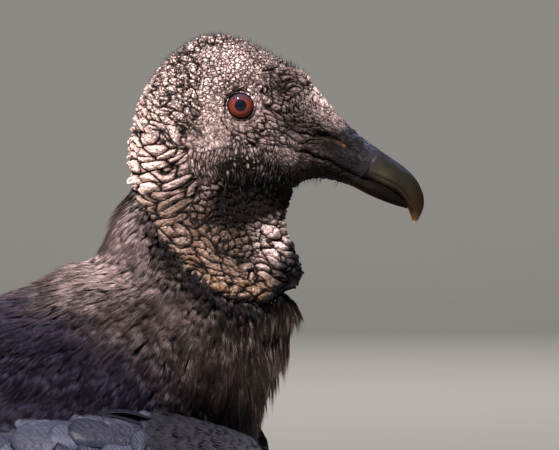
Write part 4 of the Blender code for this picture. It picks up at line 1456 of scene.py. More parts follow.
@dataclass(frozen=True)
class TuftShapes:
    """Unit meshes that lie along y, with x across and z away from the body."""

    lock_hairs: int = 9  # number of hairs in a lock
    # where a vane's outline is drawn, with its half width there
    vane_steps: tuple[Pair, ...] = ((0, 0.3), (0.22, 0.82), (0.55, 1), (0.8, 0.86), (0.94, 0.5), (1, 0.1))
    camber: float = 0.28  # how far the edges of a vane curl in
    sag: float = 0.1  # how far the tip of a tuft curls in

    def build(self, kind: Tuft) -> Object:
        """A throwaway object with one tuft, and its flat map named vane."""
        soup = {Tuft.HAIR: self.hair, Tuft.LOCK: self.lock, Tuft.VANE: self.vane}[kind]()
        mesh = bpy.data.meshes.new(kind.value)
        mesh.from_pydata(soup.points.tolist(), [], soup.faces)
        lay_flat(mesh, soup.patches)
        mesh.shade_smooth()
        return bpy.data.objects.new(kind.value, mesh)

    def hair(self, across: float = 0.0, length: float = 1.0, width: float = 1.0, rise: float = 0.0) -> Soup:
        """A thin closed spike of three sides."""
        base, strip = 0.35 * across, 0.5 + 0.4 * across
        points = [(base - width, 0, 0), (base + width, 0, 0), (base, 0, 1), (across, length, rise)]
        faces = [(0, 1, 2), (0, 3, 1), (1, 3, 2), (2, 3, 0)]
        patch = [(strip - 0.05, 0.0), (strip + 0.05, 0.0), (strip, 0.0), (strip, 1.0)]
        return Soup(np.array(points), faces, {}, {"vane": np.array(patch)})

    def lock(self) -> Soup:
        """Several hairs that spread from one root."""
        soups = []
        for k in range(self.lock_hairs):
            across = 2 * k / (self.lock_hairs - 1) - 1
            length = 1 - 0.3 * abs(across) - 0.12 * (k % 2)
            soups.append(self.hair(across, length, 0.16, 0.7 * (k % 3) - 0.6))
        return joined(soups)

    def vane(self) -> Soup:
        """A thin closed blade with a shaft, cambered across and sagging at its tip."""
        top, under, patch = [], [], []
        for along, half in self.vane_steps:
            for across in (-1.0, 0.0, 1.0):
                lift = 0.35 * math.sin(along * math.pi * 0.8)
                lift = lift - self.camber * across**2 * along - self.sag * along**2
                top.append((across * half, along - 0.05 * across**2, lift + 0.1 * (across == 0)))
                under.append((across * half, along - 0.05 * across**2, lift - 0.12))
                patch.append((0.5 + 0.5 * across, along))
        rows, count = len(self.vane_steps), len(top)
        faces = flipped(sheet_faces(rows, 3))
        faces += flipped(faces, count)
        rim = [3 * k for k in range(rows)] + [3 * rows - 2] + [3 * k + 2 for k in reversed(range(rows))] + [1]
        faces += [(b, a, a + count, b + count) for a, b in zip(rim, rim[1:] + rim[:1])]
        return Soup(np.array(top + under), faces, {}, {"vane": np.array(patch + patch)})


@dataclass
class Coat:
    """Turns roots into a plain mesh of tufts, by Geometry Nodes."""

    bench: Bench  # where pieces are made
    patch: float = 0.003  # size of a tuft's patch on the OFBake map
    most: int = 190_000  # most triangles of a piece

    def build(self, name: str, roots: Roots, kind: Tuft, finish: Material, slot: str) -> list[Any]:
        """Makes the pieces of one coat.

        Args:
            name: The coat's name, with a number after it where it is split.
            roots: Where its tufts grow.
            kind: Their shape.
            finish: Their material.
            slot: The record's material slot.

        Returns:
            The pieces.
        """
        shape = TuftShapes().build(kind)
        each = sum(len(face.vertices) - 2 for face in shape.data.polygons)
        parts = max(1, math.ceil(len(roots.points) * each / self.most))
        order = np.argsort(roots.flat[:, 1], kind="stable")
        pieces = []
        for number, chosen in enumerate(np.array_split(order, parts), start=1):
            label = f"{name}_{number}" if parts > 1 else name
            mesh = self.planted(roots.kept(chosen), shape, finish)
            pieces.append(self.bench.finished(label, mesh, finish, slot))
        old = shape.data
        bpy.data.objects.remove(shape)
        bpy.data.meshes.remove(old)
        return pieces

    def planted(self, roots: Roots, shape: Object, finish: Material) -> Mesh:
        """The plain mesh of the tufts of some roots."""
        seats = bpy.data.meshes.new("roots")
        seats.from_pydata(self.bench.world(roots.points).tolist(), [], [])
        vectors = {"lie": roots.lie, "out": roots.out, "size": roots.size * MM}
        vectors["seat"] = np.concatenate([roots.flat, np.zeros((len(roots.flat), 1))], axis=1)
        for key, rows in (*vectors.items(), ("shade", roots.shade)):
            attach(seats, key, rows)
        holder = linked("roots", seats)
        growth = holder.modifiers.new("growth", "NODES")
        growth.node_group = self.tree()
        sockets = {item.name: item.identifier for item in growth.node_group.interface.items_tree}
        growth[sockets["Tuft"]] = shape
        growth[sockets["Patch"]] = self.patch
        growth[sockets["Finish"]] = finish
        mesh = settled(holder)
        for key in ("lie", "out", "size", "seat"):
            mesh.attributes.remove(mesh.attributes[key])
        return mesh

    def tree(self) -> NodeTree:
        """The node tree that plants a tuft on each root, which is built once."""
        if "plant tufts" in bpy.data.node_groups:
            return bpy.data.node_groups["plant tufts"]
        grown = grown_tree("plant tufts", Roots="Geometry", Tuft="Object", Patch="Float", Finish="Material")
        node = grown.node

        def named(name: str, kind: str = "FLOAT_VECTOR") -> Any:
            """A named attribute."""
            held = node("GeometryNodeInputNamedAttribute", {"data_type": kind}, Name=name)
            return held.outputs["Attribute"]

        given = node("NodeGroupInput").outputs
        turn = node("FunctionNodeAxesToRotation", {"primary_axis": "Y", "secondary_axis": "Z"},
                    Primary_Axis=named("lie"), Secondary_Axis=named("out"))
        tuft = node("GeometryNodeObjectInfo", None, Object=given["Tuft"])
        planted = node("GeometryNodeInstanceOnPoints", None, Points=given["Roots"],
                       Instance=tuft.outputs["Geometry"], Rotation=turn.outputs[0], Scale=named("size"))
        real = node("GeometryNodeRealizeInstances", None, planted.outputs[0])
        spread = node("ShaderNodeVectorMath", {"operation": "SCALE"}, named("vane"), Scale=given["Patch"])
        place = node("ShaderNodeVectorMath", {"operation": "ADD"}, named("seat"), spread.outputs[0])
        stored = node("GeometryNodeStoreNamedAttribute", {"data_type": "FLOAT2", "domain": "CORNER"},
                      Geometry=real.outputs[0], Name="OFBake", Value=place.outputs[0])
        painted = node("GeometryNodeSetMaterial", None, Geometry=stored.outputs[0], Material=given["Finish"])
        node("NodeGroupOutput", None, painted.outputs[0])
        return grown.tree


@dataclass(frozen=True)
class PlumeFinish:
    """Dull black feathers with a brown cast, and a blue cast of painted sky light, paler where they are worn
    and where sunlit sheen is painted.
    """

    name: str  # the finish's name
    deep: Colour  # colour at the roots, which is painted shade in the depth of the coat, and of feathers whose shade is -1
    tip: Colour  # colour of the tips, where the shade is 0
    pale_tone: Colour  # colour of the palest feathers, whose shade is 1; on the down it is partly painted sunlit sheen
    sky_shade: Colour | None = None  # colour of the tips low on the breast and towards the tail, painted as shade lit by the blue sky
    barbs: float = 0.0  # number of barb lines along a vane, 0 for none
    rough: float = 0.6  # roughness

    def build(self, origin: Array = np.zeros(3)) -> Material:
        """The feathers' material, with the painted sky-lit shade of the tips placed from the point between
        the eyes.
        """
        s = Shader(self.name)
        vane = s.node("ShaderNodeUVMap", {"uv_map": "vane"}).outputs[0]
        split = s.node("ShaderNodeSeparateXYZ", None, vane)
        across, along = Term(s, split.outputs[0]), Term(s, split.outputs[1])
        shade = s.mark("shade")
        patchy = s.noise(38.0, 2.0, 0.5)
        tip: Any = self.tip
        sunlit_and_worn: Any = along.step(0.0, 0.7)
        if self.sky_shade:
            x, z = s.side_view(origin)
            # painted shade lit by the blue sky, low on the breast and towards the tail
            sky_shade_share = 1.0 - (z + x * 0.6 + (patchy - 0.5) * 30.0).step(-140.0, -112.0)
            tip = s.blend(sky_shade_share, self.tip, self.sky_shade)
            sunlit_and_worn = sunlit_and_worn - sky_shade_share * 0.8
        strand = (shade * 57.0 if self.barbs else across * 40.0 + shade * 57.0).wave()
        shade = shade + strand * 0.42 + (patchy - 0.5) * 0.3
        tone = s.layers(
            self.deep,
            # the deep colour at the roots is painted shade in the depth of the coat
            (along.step(0.0, 0.45), tip),
            # pale tips, partly worn and partly painted sunlit sheen
            (shade.step(0.05, 1.0) * sunlit_and_worn, self.pale_tone),
            # painted shadow round the hem, and darker feathers low on the breast
            ((-shade).step(0.0, 0.9), self.deep),
        )
        rough = self.rough + patchy * 0.2
        if not self.barbs:
            return s.finish(Base_Color=tone, Roughness=rough, Specular_IOR_Level=0.1)
        side = (across - 0.5).size()
        lines = ((along - side * 0.35) * self.barbs + s.noise(250.0) * 2.0).wave() * 0.5 + 0.5
        shaft = 1.0 - side.step(0.008, 0.02)
        tone = s.layers(tone, (lines * 0.08, self.deep), (shaft * 0.15, tuple(c * 0.5 for c in self.deep)))
        normal = s.bump((lines + shaft) * 0.05 + s.noise(160.0, 3.0, 0.6), 1.2)
        return s.finish(Base_Color=tone, Roughness=rough, Normal=normal, Specular_IOR_Level=0.16)


# the down's pale colour is partly painted sunlit sheen, and its blue tips are painted shade lit by the sky
DOWN = PlumeFinish(
    "down", (0.004, 0.003, 0.004), (0.055, 0.041, 0.038), (0.4, 0.3, 0.3), (0.021, 0.018, 0.037)
)
CONTOUR_VANE = PlumeFinish(
    "contour_vane", (0.004, 0.004, 0.006), (0.011, 0.011, 0.017), (0.026, 0.026, 0.037), barbs=70.0
)
BRISTLE = PlumeFinish("bristle", (0.006, 0.005, 0.005), (0.012, 0.01, 0.01), (0.26, 0.21, 0.2))
# the blue cast of these black feathers is painted sky reflection
QUILL_VANE = PlumeFinish(
    "quill_vane", (0.0035, 0.0035, 0.006), (0.009, 0.0095, 0.018), (0.026, 0.028, 0.048), barbs=90, rough=0.45
)
WRIST_DOWN = PlumeFinish(
    "wrist_down", (0.024, 0.024, 0.031), (0.027, 0.027, 0.035), (0.031, 0.031, 0.04), rough=0.4
)


@dataclass
class Plumage:
    """Ruff, breast and mantle, and the contour feathers of the body."""

    form: BodyForm  # the body's form
    relief: Relief  # the bare skin, whose hem the ruff starts at
    coat: Coat  # what plants the tufts
    sunlit_and_worn: tuple[tuple[Pair, Pair, float], ...] = (  # where the down is pale, partly worn and partly painted sunlit sheen: centre, reach and share
        ((-64, -60), (32, 9), 0.42), ((-47, -43), (12, 16), 1.8), ((-40, -80), (20, 12), 0.2),
    )

    def build(self) -> None:
        """Makes every coat of head, neck and trunk."""
        trunk = self.form.chart(np.linspace(PLACE["throat fold"] - 1.5, PLACE["tail root"] - 0.1, 260), 300)
        head = self.form.chart(np.linspace(0.3, PLACE["feather line"], 160), 256)
        fur, vane = DOWN.build(self.coat.bench.origin), CONTOUR_VANE.build()
        self.coat.build("ruff", self.down(trunk, 0.0, 22.0, 51), Tuft.LOCK, fur, "ruff_feathers")
        self.coat.build("down", self.down(trunk, 20.0, 400.0, 61), Tuft.LOCK, fur, "body_feathers")
        self.coat.build("contour", self.contour(trunk), Tuft.VANE, vane, "body_feathers")
        self.coat.build("bristles", self.bristles(head), Tuft.HAIR, BRISTLE.build(), "ruff_feathers")

    def paleness(self, points: Array) -> Array:
        """How pale the feathers are, from -1 round the hem, with painted shadow under the bare skin, and low
        on the breast to 1 in patches that are partly worn and partly painted sunlit sheen.
        """
        x, _, z = points.T
        below = -self.relief.above_hem(points)
        # black hair and painted shadow under the overhanging bare skin at the hem
        dark = 0.9 * (1 - ramp(below, 1.0, 10.0)) * ramp(x, -52.0, -34.0)
        dark += 0.55 * ramp(x, -30.0, -8.0) * ramp(-z, 98.0, 112.0)
        # patches partly worn and partly painted sunlit sheen
        patches = sum(share * blob(x, z, centre, reach) for centre, reach, share in self.sunlit_and_worn)
        patches *= 1 + 0.9 * soft_noise(points / 9.0, 54)[:, 0]
        return np.clip(0.7 * patches - dark + 0.5 * soft_noise(points * [0.3, 0.3, 0.12], 55)[:, 0], -1, 1)

    def down(self, chart: Chart, first: float, last: float, seed: int) -> Roots:
        """Loose hair-like plumes between two distances below the hem, which close into fur.

        Args:
            chart: The surface they grow on.
            first: Where they start.
            last: Where they end.
            seed: Which plumes.

        Returns:
            Their roots, under the surface, with the tips up at it.
        """

        def spacing(points: Array) -> Array:
            below = -self.relief.above_hem(points)
            step = 1.45 + 0.35 * ramp(below, 12.0, 40.0) + 1.2 * ramp(-points[:, 0], 80.0, 110.0)
            belly = ramp(-points[:, 2], 130.0, 160.0)
            inside = (below > first - 1.2) & (below < last) & (points[:, 2] < -24) & (points[:, 0] > -118)
            return np.where(inside, np.maximum(step, 1.55 + 2.4 * belly), 1e3)

        points, out, along, flat = scattered(chart, spacing, seed)
        rng = np.random.default_rng(seed + 1)
        count = len(points)
        below = -self.relief.above_hem(points)
        grow = ramp(below, 0.0, 14.0)
        front = ramp(points[:, 0], -20.0, 8.0)
        length = (7.0 + 3.0 * grow + 4.0 * front * grow) * rng.uniform(0.7, 1.3, count)
        length *= 1 - 0.3 * ramp(points[:, 0], 2.0, 16.0) * (1 - grow)
        size = stacked(1.0 + 0.3 * grow, length, 0.28)
        swirl = soft_noise(points / 14.0, seed + 2)
        lie = unit(along - stacked(0.0, 0.0, 0.2 + 1.2 * front) + 0.22 * swirl)
        lie = unit(lie + rng.normal(size=points.shape) * 0.13)
        lie = unit(lie - out * np.sum(lie * out, axis=1, keepdims=True))
        roll = np.sin(below / 2.3 + 2.5 * soft_noise(points / 18.0, seed + 3)[:, 0])
        depth = 2.0 + 1.2 * grow - 0.8 * roll - rng.uniform(0.0, 0.9, count)
        ragged = front * ramp(-points[:, 2], 84.0, 92.0) * (rng.random(count) < 0.2)
        rise = 0.9 * depth / length + 0.02 + 0.1 * rng.random(count) ** 2
        rise += 0.14 * (1 - grow) * (1 - front) + 0.3 * ragged
        fan = ramp(points[:, 0], 2.0, 16.0) * (1 - ramp(-points[:, 2], 84.0, 96.0))
        lie = unit(lie + out * rise[:, None] - stacked(0.2 * fan, 0.0, 0.7 * fan))
        fleck = 0.7 * front * (rng.random(count) < 0.16)
        varied = (0.36 + 0.3 * front) * (rng.random(count) - 0.5)
        shade = np.clip(self.paleness(points) + varied + fleck, -1, 1)
        drawn = ramp(points[:, 0], 2.0, 16.0) * (1.2 + 0.8 * fan)
        points = points - out * depth[:, None] - stacked(drawn, 0.0, 0.0)
        return Roots(points, lie, out, size, flat, shade)

    def contour(self, chart: Chart) -> Roots:
        """Broad soft-edged feathers of back, flanks and belly behind the down."""

        def spacing(points: Array) -> Array:
            return np.where(points[:, 0] + 0.15 * points[:, 2] < -112, 4.6, 1e3)

        points, out, along, flat = scattered(chart, spacing, 71)
        rng = np.random.default_rng(72)
        count = len(points)
        length = 20.0 * rng.uniform(0.8, 1.15, count)
        size = stacked(rng.uniform(5.0, 7.0, count), length, 1.6)
        depth = rng.uniform(2.6, 3.6, count)
        lie = unit(along + rng.normal(size=points.shape) * 0.09)
        lie = unit(lie + out * (0.7 * depth / length)[:, None])
        return Roots(points - out * depth[:, None], lie, out, size, flat, rng.random(count))

    def bristles(self, chart: Chart) -> Roots:
        """Short bristles, black on the crown and the chin, and pale among dark ones on the jaw."""

        def spacing(points: Array) -> Array:
            x, _, z = points.T
            crown = ramp(z, 2.0, 20.0) * (1 - ramp(x, 20.0, 34.0))
            jaw = 3.0 * blob(x, z, (-1.0, -21.5), (16.0, 6.5)) + blob(x, z, (24.0, -28.0), (9.0, 5.0))
            throat = 0.5 * blob(x, z, (-8.0, -45.0), (9.0, 14.0))
            return 1.9 / np.sqrt(np.clip(crown * 1.4 + jaw + throat, 1e-5, None))

        points, out, along, flat = scattered(chart, spacing, 81)
        rng = np.random.default_rng(82)
        count = len(points)
        jaw = ramp(-points[:, 2], 12.0, 20.0)
        length = (2.7 + 1.1 * jaw) * rng.uniform(0.6, 1.3, count)
        size = stacked(0.12 + 0.08 * jaw, length, 0.12)
        lie = along * 0.5 + out * (0.75 - 0.4 * jaw)[:, None] + rng.normal(size=points.shape) * 0.25
        lie = unit(lie - stacked(0.0, 0.0, 0.9 * jaw))
        shade = np.where(rng.random(count) < 0.45 * jaw, 0.6, -0.3)
        return Roots(points - out * 0.4, lie, out, size, flat, shade)


@dataclass(frozen=True)
class Blades:
    """A set of large feathers of one kind on a wing."""

    start: Pair  # first and last place of their roots, in millimetres from the eyes, front to back
    rows: int  # how many rows lie between those
    band: Pair  # highest and lowest root, as shares of the way down the outer face
    columns: int  # feathers in a row
    length: Pair  # length of the first and of the last row
    half: Pair  # half width of the first and of the last row
    lift: Pair  # how far out from the wing's surface they lie at the root and at the tip
    drop: float = 0.0  # how much lower the tip lies than the root, as a share of the outer face
    tip: float = 0.0  # sharpness of the tip, 0 for round
    stray: float = 0.3  # how much places, lengths and turns vary
    seed: int = 1  # which variation


@dataclass
class Blade:
    """One large feather: a cambered vane round a shaft, along a line on a surface."""

    steps: int = 14  # points along it
    across: int = 3  # points across each half
    thick: float = 0.25  # thickness of the vane
    camber: float = 0.16  # how far its edges curl in, as a share of its half width

    def soup(self, line: Array, side: Array, out: Array, half: float, tip: float, seat: Pair, patch: float,
             shade: float, wave: float) -> Soup:
        """Builds the feather.

        Args:
            line: Its shaft, point by point.
            side: Unit vectors across it.
            out: Unit vectors away from the body.
            half: Its half width.
            tip: Sharpness of its tip.
            seat: Its place on the flat map.
            patch: Its size there.
            shade: How pale it is.
            wave: How far its edge waves.

        Returns:
            The feather as a closed thin solid.
        """
        t = np.linspace(0, 1, self.steps)
        blunt = 3.2 - 1.6 * tip
        width = half * np.minimum(1.0, 0.25 + 2.6 * t) * (1 - (0.15 + 0.35 * tip) * t)
        width *= np.maximum(1 - np.clip((t - 0.62) / 0.385, 0, 1) ** blunt, 0.0) ** 0.55
        a = np.linspace(-1, 1, 2 * self.across + 1)
        phase = 9.0 * t[:, None] + 9 * shade + 2.0 * a[None, :]
        ripple = wave * half * 0.13 * np.sin(phase) * (a**2)[None, :]
        reach = width[:, None] * a[None, :]
        sink = self.camber * half * a[None, :] ** 2 * (width / half)[:, None]
        shaft = 0.35 * (np.abs(a) < 0.01)[None, :] * (1 - 0.8 * t)[:, None]
        height = (shaft - sink + ripple)[..., None]
        upper = line[:, None] + side[:, None] * reach[..., None] + out[:, None] * height
        lower = upper - out[:, None] * self.thick
        columns = len(a)
        count = self.steps * columns
        faces = sheet_faces(self.steps, columns)
        faces += flipped(faces, count)
        rim = [columns * k for k in range(self.steps)] + [count - columns + k for k in range(1, columns)]
        rim += [columns * k + columns - 1 for k in reversed(range(self.steps - 1))]
        rim += [k for k in reversed(range(1, columns - 1))]
        faces += [(b, p, p + count, b + count) for p, b in zip(rim, rim[1:] + rim[:1])]
        flat = np.concatenate([plane_grid(0.5 + 0.5 * a, t).reshape(-1, 2)] * 2)
        points = np.concatenate([upper.reshape(-1, 3), lower.reshape(-1, 3)])
        probe = np.cross(upper[1, 1] - upper[1, 0], upper[2, 0] - upper[1, 0])
        if np.dot(probe, out[1]) < 0:
            faces = flipped(faces)
        patches = {"vane": flat, "OFBake": np.array(seat) + flat * patch}
        return Soup(points, faces, {"shade": np.full(len(points), shade)}, patches)


@dataclass
class Wings:
    """Folded wings, feather by feather over their packed form."""

    bench: Bench  # where pieces are made
    coat: Coat  # what plants the small feathers of the wrist
    # x, y, z, half height, half thickness, lean in degrees and curl of each upright ring
    rows: tuple[tuple[float, ...], ...] = (
        (11, 62, -151, 6, 4, 4, 0), (9.5, 63.5, -151, 15, 9, 5, 0),
        (3, 66, -151.5, 23, 13, 6, 1), (-14, 70, -153, 31, 15.5, 8, 4),
        (-40, 75, -156.5, 41, 16, 10, 9), (-70, 79, -160, 49, 16, 13, 15),
        (-105, 80, -164, 53, 15, 17, 20), (-145, 76, -171, 52, 13.5, 24, 20),
        (-185, 66, -179, 46, 11.5, 33, 16), (-225, 54, -188, 37, 8.5, 42, 10),
        (-265, 43, -200, 27, 5.5, 50, 5), (-305, 34, -215, 18, 3.8, 56, 2),
        (-342, 28, -231, 10, 2.4, 60, 1), (-366, 25, -241.5, 4, 1.3, 62, 0),
    )
    sets: dict[str, Blades] = field(  # the kinds of feathers
        default_factory=lambda: {
            "primaries": Blades((-165, -190), 1, (0.62, 0.95), 8, (175, 175), (9, 9), (-3.2, -0.8),
                                -0.2, 0.9, 0.05, 1),
            "secondaries": Blades((-150, -165), 1, (0.3, 0.9), 11, (105, 105), (11, 11),
                                  (-2.6, -0.6), 0, 0.2, 0.12, 2),
            "tertials": Blades((-120, -150), 2, (0.02, 0.34), 4, (120, 118), (15, 14), (-1.8, 0.2),
                               0.08, 0.15, 0.15, 3),
            "greater_coverts": Blades((-106, -128), 1, (0.1, 0.93), 13, (52, 52), (10.5, 10.5),
                                      (-1.5, 0.9), 0.02, 0.1, 0.2, 4),
            "median_coverts": Blades((-72, -94), 2, (0.08, 0.92), 13, (34, 36), (9.5, 10), (-1.6, 1.3),
                                     0.03, 0.1, 0.3, 5),
            "lesser_coverts": Blades((-20, -76), 7, (0.03, 0.97), 13, (19, 30), (7, 9.5), (-1.8, 0.5),
                                     0, 0, 0.7, 6),
            "scapulars": Blades((-26, -150), 7, (0, 0.2), 4, (42, 54), (12, 15), (-2, 1.8),
                                0.05, 0.1, 0.6, 7),
        }
    )
    wrist: float = -30.0  # how far back the small feathers of the wrist reach
    patch: float = 0.003  # size of a small feather on the OFBake map

    def surface(self, u: Array, v: Array, way: float) -> Array:
        """Points of the wing's form at ring numbers and shares of the way down its outer face."""
        row = smooth_rows(np.array(self.rows), np.asarray(u, float))
        x, y, z, height, thick, lean, curl = np.moveaxis(row, -1, 0)
        lean = np.radians(lean)
        c, s = np.cos(math.pi * v), np.sin(math.pi * v)
        out = thick * s - curl * c * c
        side = y - height * c * np.sin(lean) + out * np.cos(lean)
        return np.stack([x, side * way, z + height * c * np.cos(lean) + out * np.sin(lean)], axis=-1)

    def ring_at(self, x: Array) -> Array:
        """Ring numbers at places along the wing."""
        fine = np.linspace(0, len(self.rows) - 1, 500)
        line = smooth_rows(np.array(self.rows), fine)[:, 0]
        return np.interp(-np.asarray(x), -line, fine)

    def build(self, finish: Material, small: Material) -> None:
        """Makes one piece for each kind and wing, and the small feathers of each wrist."""
        for side, way in SIDES.items():
            for name, kind in self.sets.items():
                feathers = joined(self.feathers(kind, way))
                self.bench.piece(f"{name}_{side}", feathers, finish, "flight_feathers")
            self.coat.build(f"wrist_{side}", self.wrist_roots(way), Tuft.LOCK, small, "flight_feathers")

    def wrist_roots(self, way: float) -> Roots:
        """Short dense feathers that round off the front of a wing."""
        u = np.linspace(0.0, float(self.ring_at(self.wrist)), 50)
        v = np.linspace(0.0, 2.0, 120, endpoint=False)[:: int(way)]
        points = self.surface(*np.meshgrid(u, v, indexing="ij"), way)
        along, inward = directions(points)
        chart = Chart(points, -inward, along, plane_grid(v / 2, u / 20))
        points, out, along, flat = scattered(chart, lambda p: np.full(len(p), 1.7), 85)
        rng = np.random.default_rng(86)
        count = len(points)
        length = (5.0 + 4.0 * ramp(-points[:, 0], -10.0, 20.0)) * rng.uniform(0.8, 1.2, count)
        lie = unit(along + rng.normal(size=points.shape) * 0.03)
        lie = unit(lie + out * (0.2 / length)[:, None])
        return Roots(points - out * 0.25, lie, out, stacked(2.3, length, 0.08), flat, 0.1 * rng.random(count))

    def feathers(self, kind: Blades, way: float) -> list[Soup]:
        """The feathers of one kind on one wing, back rows first so that front rows overlap them."""
        rng = np.random.default_rng(kind.seed * 10 + int(way > 0))
        blade = Blade()
        t = np.linspace(0, 1, blade.steps)
        soups = []
        for row in range(kind.rows):
            back = row / max(kind.rows - 1, 1)
            for column in range(kind.columns):
                down = column + 0.5 * (row % 2) + rng.uniform(-0.5, 0.5) * kind.stray
                down /= max(kind.columns - 1, 1)
                top = between(kind.band, down)
                start = between(kind.start, back if kind.rows > 1 else down) + rng.uniform(-4, 4) * kind.stray
                length = between(kind.length, back) * (1 + rng.uniform(-0.15, 0.15) * kind.stray)
                half = between(kind.half, back) * (1 + rng.uniform(-0.15, 0.15) * kind.stray)
                v = top + (kind.drop + rng.uniform(-0.04, 0.04) * kind.stray) * t
                u = self.ring_at(start - length * 0.97 * t)
                line = self.surface(u, v, way)
                aside = unit(self.surface(u, v + 0.01, way) - line)
                ahead = unit(np.gradient(line, axis=0))
                out = unit(np.cross(ahead, aside))
                out *= np.where(out[:, 1:2] * way + 0.2 * out[:, 2:3] < 0, -1.0, 1.0)
                lift = between(kind.lift, t) + 0.9 * rng.random() * t
                line = line + out * lift[:, None]
                seat = (0.02 + 0.9 * (start + 400) / 420, 0.02 + 0.9 * np.clip(top, 0, 1))
                looks = (kind.tip, seat, self.patch, rng.random(), kind.stray)
                soups.append(blade.soup(line, aside, out, half, *looks))
        return soups


@dataclass
class Tail:
    """Twelve tail feathers in a flat fan with a square end."""

    bench: Bench  # where pieces are made
    root: Pair = (-222.0, -168.0)  # where the fan starts in the side view
    slope: float = 32.0  # how steeply it falls, in degrees
    length: float = 173.0  # length of the middle feathers
    spread: Pair = (12.0, 36.0)  # half width of the fan at its root and at its end
    rounding: float = 11.0  # how much shorter the outermost feathers are
    arch: float = 5.0  # how far the edges of the fan drop
    count: int = 12  # number of feathers
    half: float = 11.5  # half width of a feather
    patch: float = 0.003  # size of a feather on the OFBake map

    def build(self, finish: Material) -> None:
        """Makes the tail feathers."""
        rng = np.random.default_rng(91)
        blade = Blade()
        t = np.linspace(0, 1, blade.steps)
        slope = math.radians(self.slope)
        back = np.array([-math.cos(slope), 0.0, -math.sin(slope)])
        up = np.array([-math.sin(slope), 0.0, math.cos(slope)])
        soups = []
        for number in range(self.count):
            place = (number - (self.count - 1) / 2) / ((self.count - 1) / 2)
            side = place * between(self.spread, np.sin(t * math.pi / 2))
            lift = 3.5 * (1 - t) + 2.6 * (1 - abs(place)) - self.arch * place**2 - 1.0
            along = (self.length - self.rounding * abs(place) ** 2) * t
            line = np.array([self.root[0], 0, self.root[1]]) + back * along[:, None] + up * lift[:, None]
            line[:, 1] += side
            ahead = unit(np.gradient(line, axis=0))
            aside = unit(np.cross(ahead, up))
            out = unit(np.cross(aside, ahead))
            seat = (0.05 + 0.07 * number, 0.95)
            looks = (0.05, seat, self.patch, rng.random() * 0.5, 0.1)
            soups.append(blade.soup(line, aside, out, self.half, *looks))
        self.bench.piece("tail_feathers", joined(soups), finish, "flight_feathers")


@dataclass
class Thighs:
    """Loose plumes of the thighs, which end in a cuff over the shank."""

    coat: Coat  # what plants the tufts
    rings: tuple[tuple[float, ...], ...] = (  # x, y, z and half sizes along x and y of each level ring
        (-92, 46, -172, 37, 21), (-95, 47, -190, 36, 22), (-100, 46.5, -208, 30, 19.5),
        (-106, 45.5, -225, 22, 15.5), (-113, 44.5, -240, 14.5, 11.5), (-119, 44, -252, 9.2, 8.6),
    )

    def chart(self, way: float, rows: int = 60, columns: int = 80) -> Chart:
        """The thigh's surface."""
        x, y, z, long, wide = smooth_rows(np.array(self.rings), np.linspace(0, 5, rows)).T[..., None]
        turn = whole_turn(columns)[None, :] * way
        points = np.stack([x + long * np.cos(turn), way * y + wide * np.sin(turn), z + 0 * turn], axis=-1)
        along, normals = directions(points)
        centre = points.mean(axis=1, keepdims=True)
        normals *= np.sign(np.sum(normals * (points - centre), axis=-1, keepdims=True))
        flat = plane_grid(np.linspace(0, 1, columns), np.linspace(0.8, 0.95, rows))
        return Chart(points, normals, along, flat)

    def build(self, vane: Material, down: Material) -> None:
        """Makes the coats of both thighs."""
        for side, way in SIDES.items():
            chart = self.chart(way)
            rng = np.random.default_rng(101 if way > 0 else 102)
            for name, kind, step, width, length, depth, finish in (
                ("thigh_vanes", Tuft.VANE, 4.5, 4.5, 17.0, 4.5, vane),
                ("thigh_down", Tuft.LOCK, 2.2, 0.8, 11.0, 3.0, down),
            ):
                points, out, along, flat = scattered(chart, lambda p, s=step: np.full(len(p), s), 103)
                count = len(points)
                size = stacked(width, length * rng.uniform(0.7, 1.2, count), width * 0.5)
                lie = unit(along + rng.normal(size=points.shape) * 0.1)
                lie = unit(lie + out * (0.8 * depth / length))
                roots = Roots(points - out * depth, lie, out, size, flat, rng.random(count) * 0.6)
                self.coat.build(f"{name}_{side}", roots, kind, finish, "body_feathers")


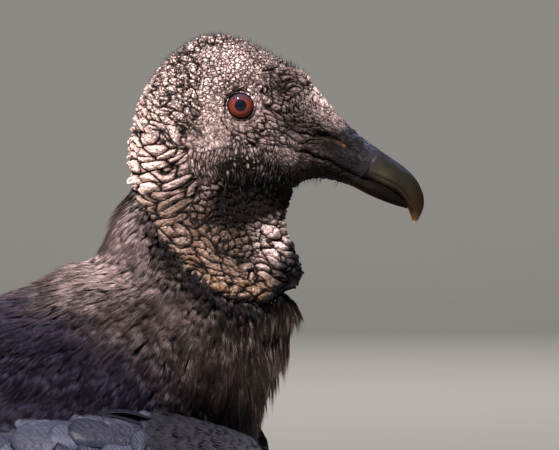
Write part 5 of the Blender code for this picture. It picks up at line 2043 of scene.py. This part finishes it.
# ---------------------------------------------------------------- camera and light
@dataclass(frozen=True)
class Studio:
    """The camera, a pale floor that curves up far away, and soft light."""

    lens: float = 250.0  # focal length for a sensor 36 mm wide
    view: float = 223.6  # width of what the camera sees at the bird's middle plane
    aim: Pair = (15.4, -47.2)  # centre of the view from the point between the eyes
    floor: Colour = (0.36, 0.35, 0.335)  # colour of the floor
    # inner and outer radius and height of the curved rim of the floor, in metres
    bowl: Colour = (9.0, 13.0, 6.0)

    def camera(self, bench: Bench) -> None:
        """Sets up the camera level with the head, on the bird's right side."""
        data = bpy.data.cameras.new("camera")
        data.sensor_width, data.lens = 36.0, self.lens
        data.clip_start, data.clip_end = 0.05, 60.0
        distance = self.view * MM * self.lens / 36.0
        camera = linked("camera", data)
        camera.location = Vector(bench.world((self.aim[0], 0.0, self.aim[1]))) - Vector((0, distance, 0))
        camera.rotation_euler = (math.pi / 2, 0, 0)
        bpy.context.scene.camera = camera

    def ground(self) -> None:
        """The floor, flat near the bird and rising like a bowl at its rim."""
        inner, outer, height = self.bowl
        turns = whole_turn(96)
        rows = [(0.4, 0.0), (2.0, 0.0), (inner, 0.0)]
        for k in range(1, 13):
            bend = k / 12 * math.pi / 2
            rows.append((inner + (outer - inner) * math.sin(bend), height * (1 - math.cos(bend))))
        grid = [(r * math.cos(t), r * math.sin(t), h) for r, h in rows for t in turns]
        faces = [tuple(range(96)), *flipped(sheet_faces(len(rows), 96, True))]
        mesh = bpy.data.meshes.new("floor")
        mesh.from_pydata(grid, [], faces)
        mesh.shade_smooth()
        s = Shader("floor_paint")
        tone = s.blend(s.noise(3.0, 3.0), self.floor, tuple(0.96 * c for c in self.floor))
        mesh.materials.append(s.finish(Base_Color=tone, Roughness=0.85))
        linked("floor", mesh)

    def lamp(self, name: str, spot: Colour, aim: Colour, size: float, power: float, tint: Colour) -> None:
        """An area light at one place, turned to another."""
        data = bpy.data.lights.new(name, "AREA")
        data.shape, data.size, data.energy, data.color = "DISK", size, power, tint
        light = linked(name, data)
        light.location = spot
        light.rotation_euler = (Vector(spot) - Vector(aim)).to_track_quat("Z", "Y").to_euler()

    def light(self, bench: Bench) -> None:
        """A warm key from behind the nape, a cool fill and a pale surround."""
        head = tuple(bench.origin)
        key = tuple(bench.origin + 3.2 * unit(np.array([-0.27, -0.6, 0.76])))
        self.lamp("key", key, head, 0.3, 450.0, (1.0, 0.93, 0.9))
        fill = tuple(bench.origin + 3.5 * unit(np.array([0.5, -1.0, 0.35])))
        self.lamp("fill", fill, head, 2.4, 4.0, (0.8, 0.86, 1.0))
        self.lamp("backdrop", (0.0, 4.0, 4.5), (0.0, 10.0, 1.5), 3.0, 330.0, (1.0, 0.97, 0.94))
        world = bpy.data.worlds.new("surround")
        world.use_nodes = True
        world.node_tree.nodes["Background"].inputs[0].default_value = (0.82, 0.85, 0.92, 1.0)
        world.node_tree.nodes["Background"].inputs[1].default_value = 0.09
        bpy.context.scene.world = world
        bpy.context.scene.view_settings.view_transform = "Standard"


def main() -> None:
    """Builds the bird."""
    logging.basicConfig(level=logging.INFO, format="%(name)s %(message)s")
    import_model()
    bench = Bench()
    studio = Studio()
    studio.camera(bench)
    studio.ground()
    studio.light(bench)
    form, relief = BodyForm(), Relief()
    Skin(form, relief, bench).build(SkinFinish().build())
    Eyes(bench).build(EyeFinish().build(bench.origin))
    Bill(bench).build(HornFinish())
    Claws(bench).build(ClawFinish().build())
    coat = Coat(bench)
    Plumage(form, relief, coat).build()
    quill = QUILL_VANE.build()
    Wings(bench, coat).build(quill, WRIST_DOWN.build())
    Tail(bench).build(quill)
    Thighs(coat).build(bpy.data.materials["contour_vane"], bpy.data.materials["down"])


if __name__ == "__main__":
    main()
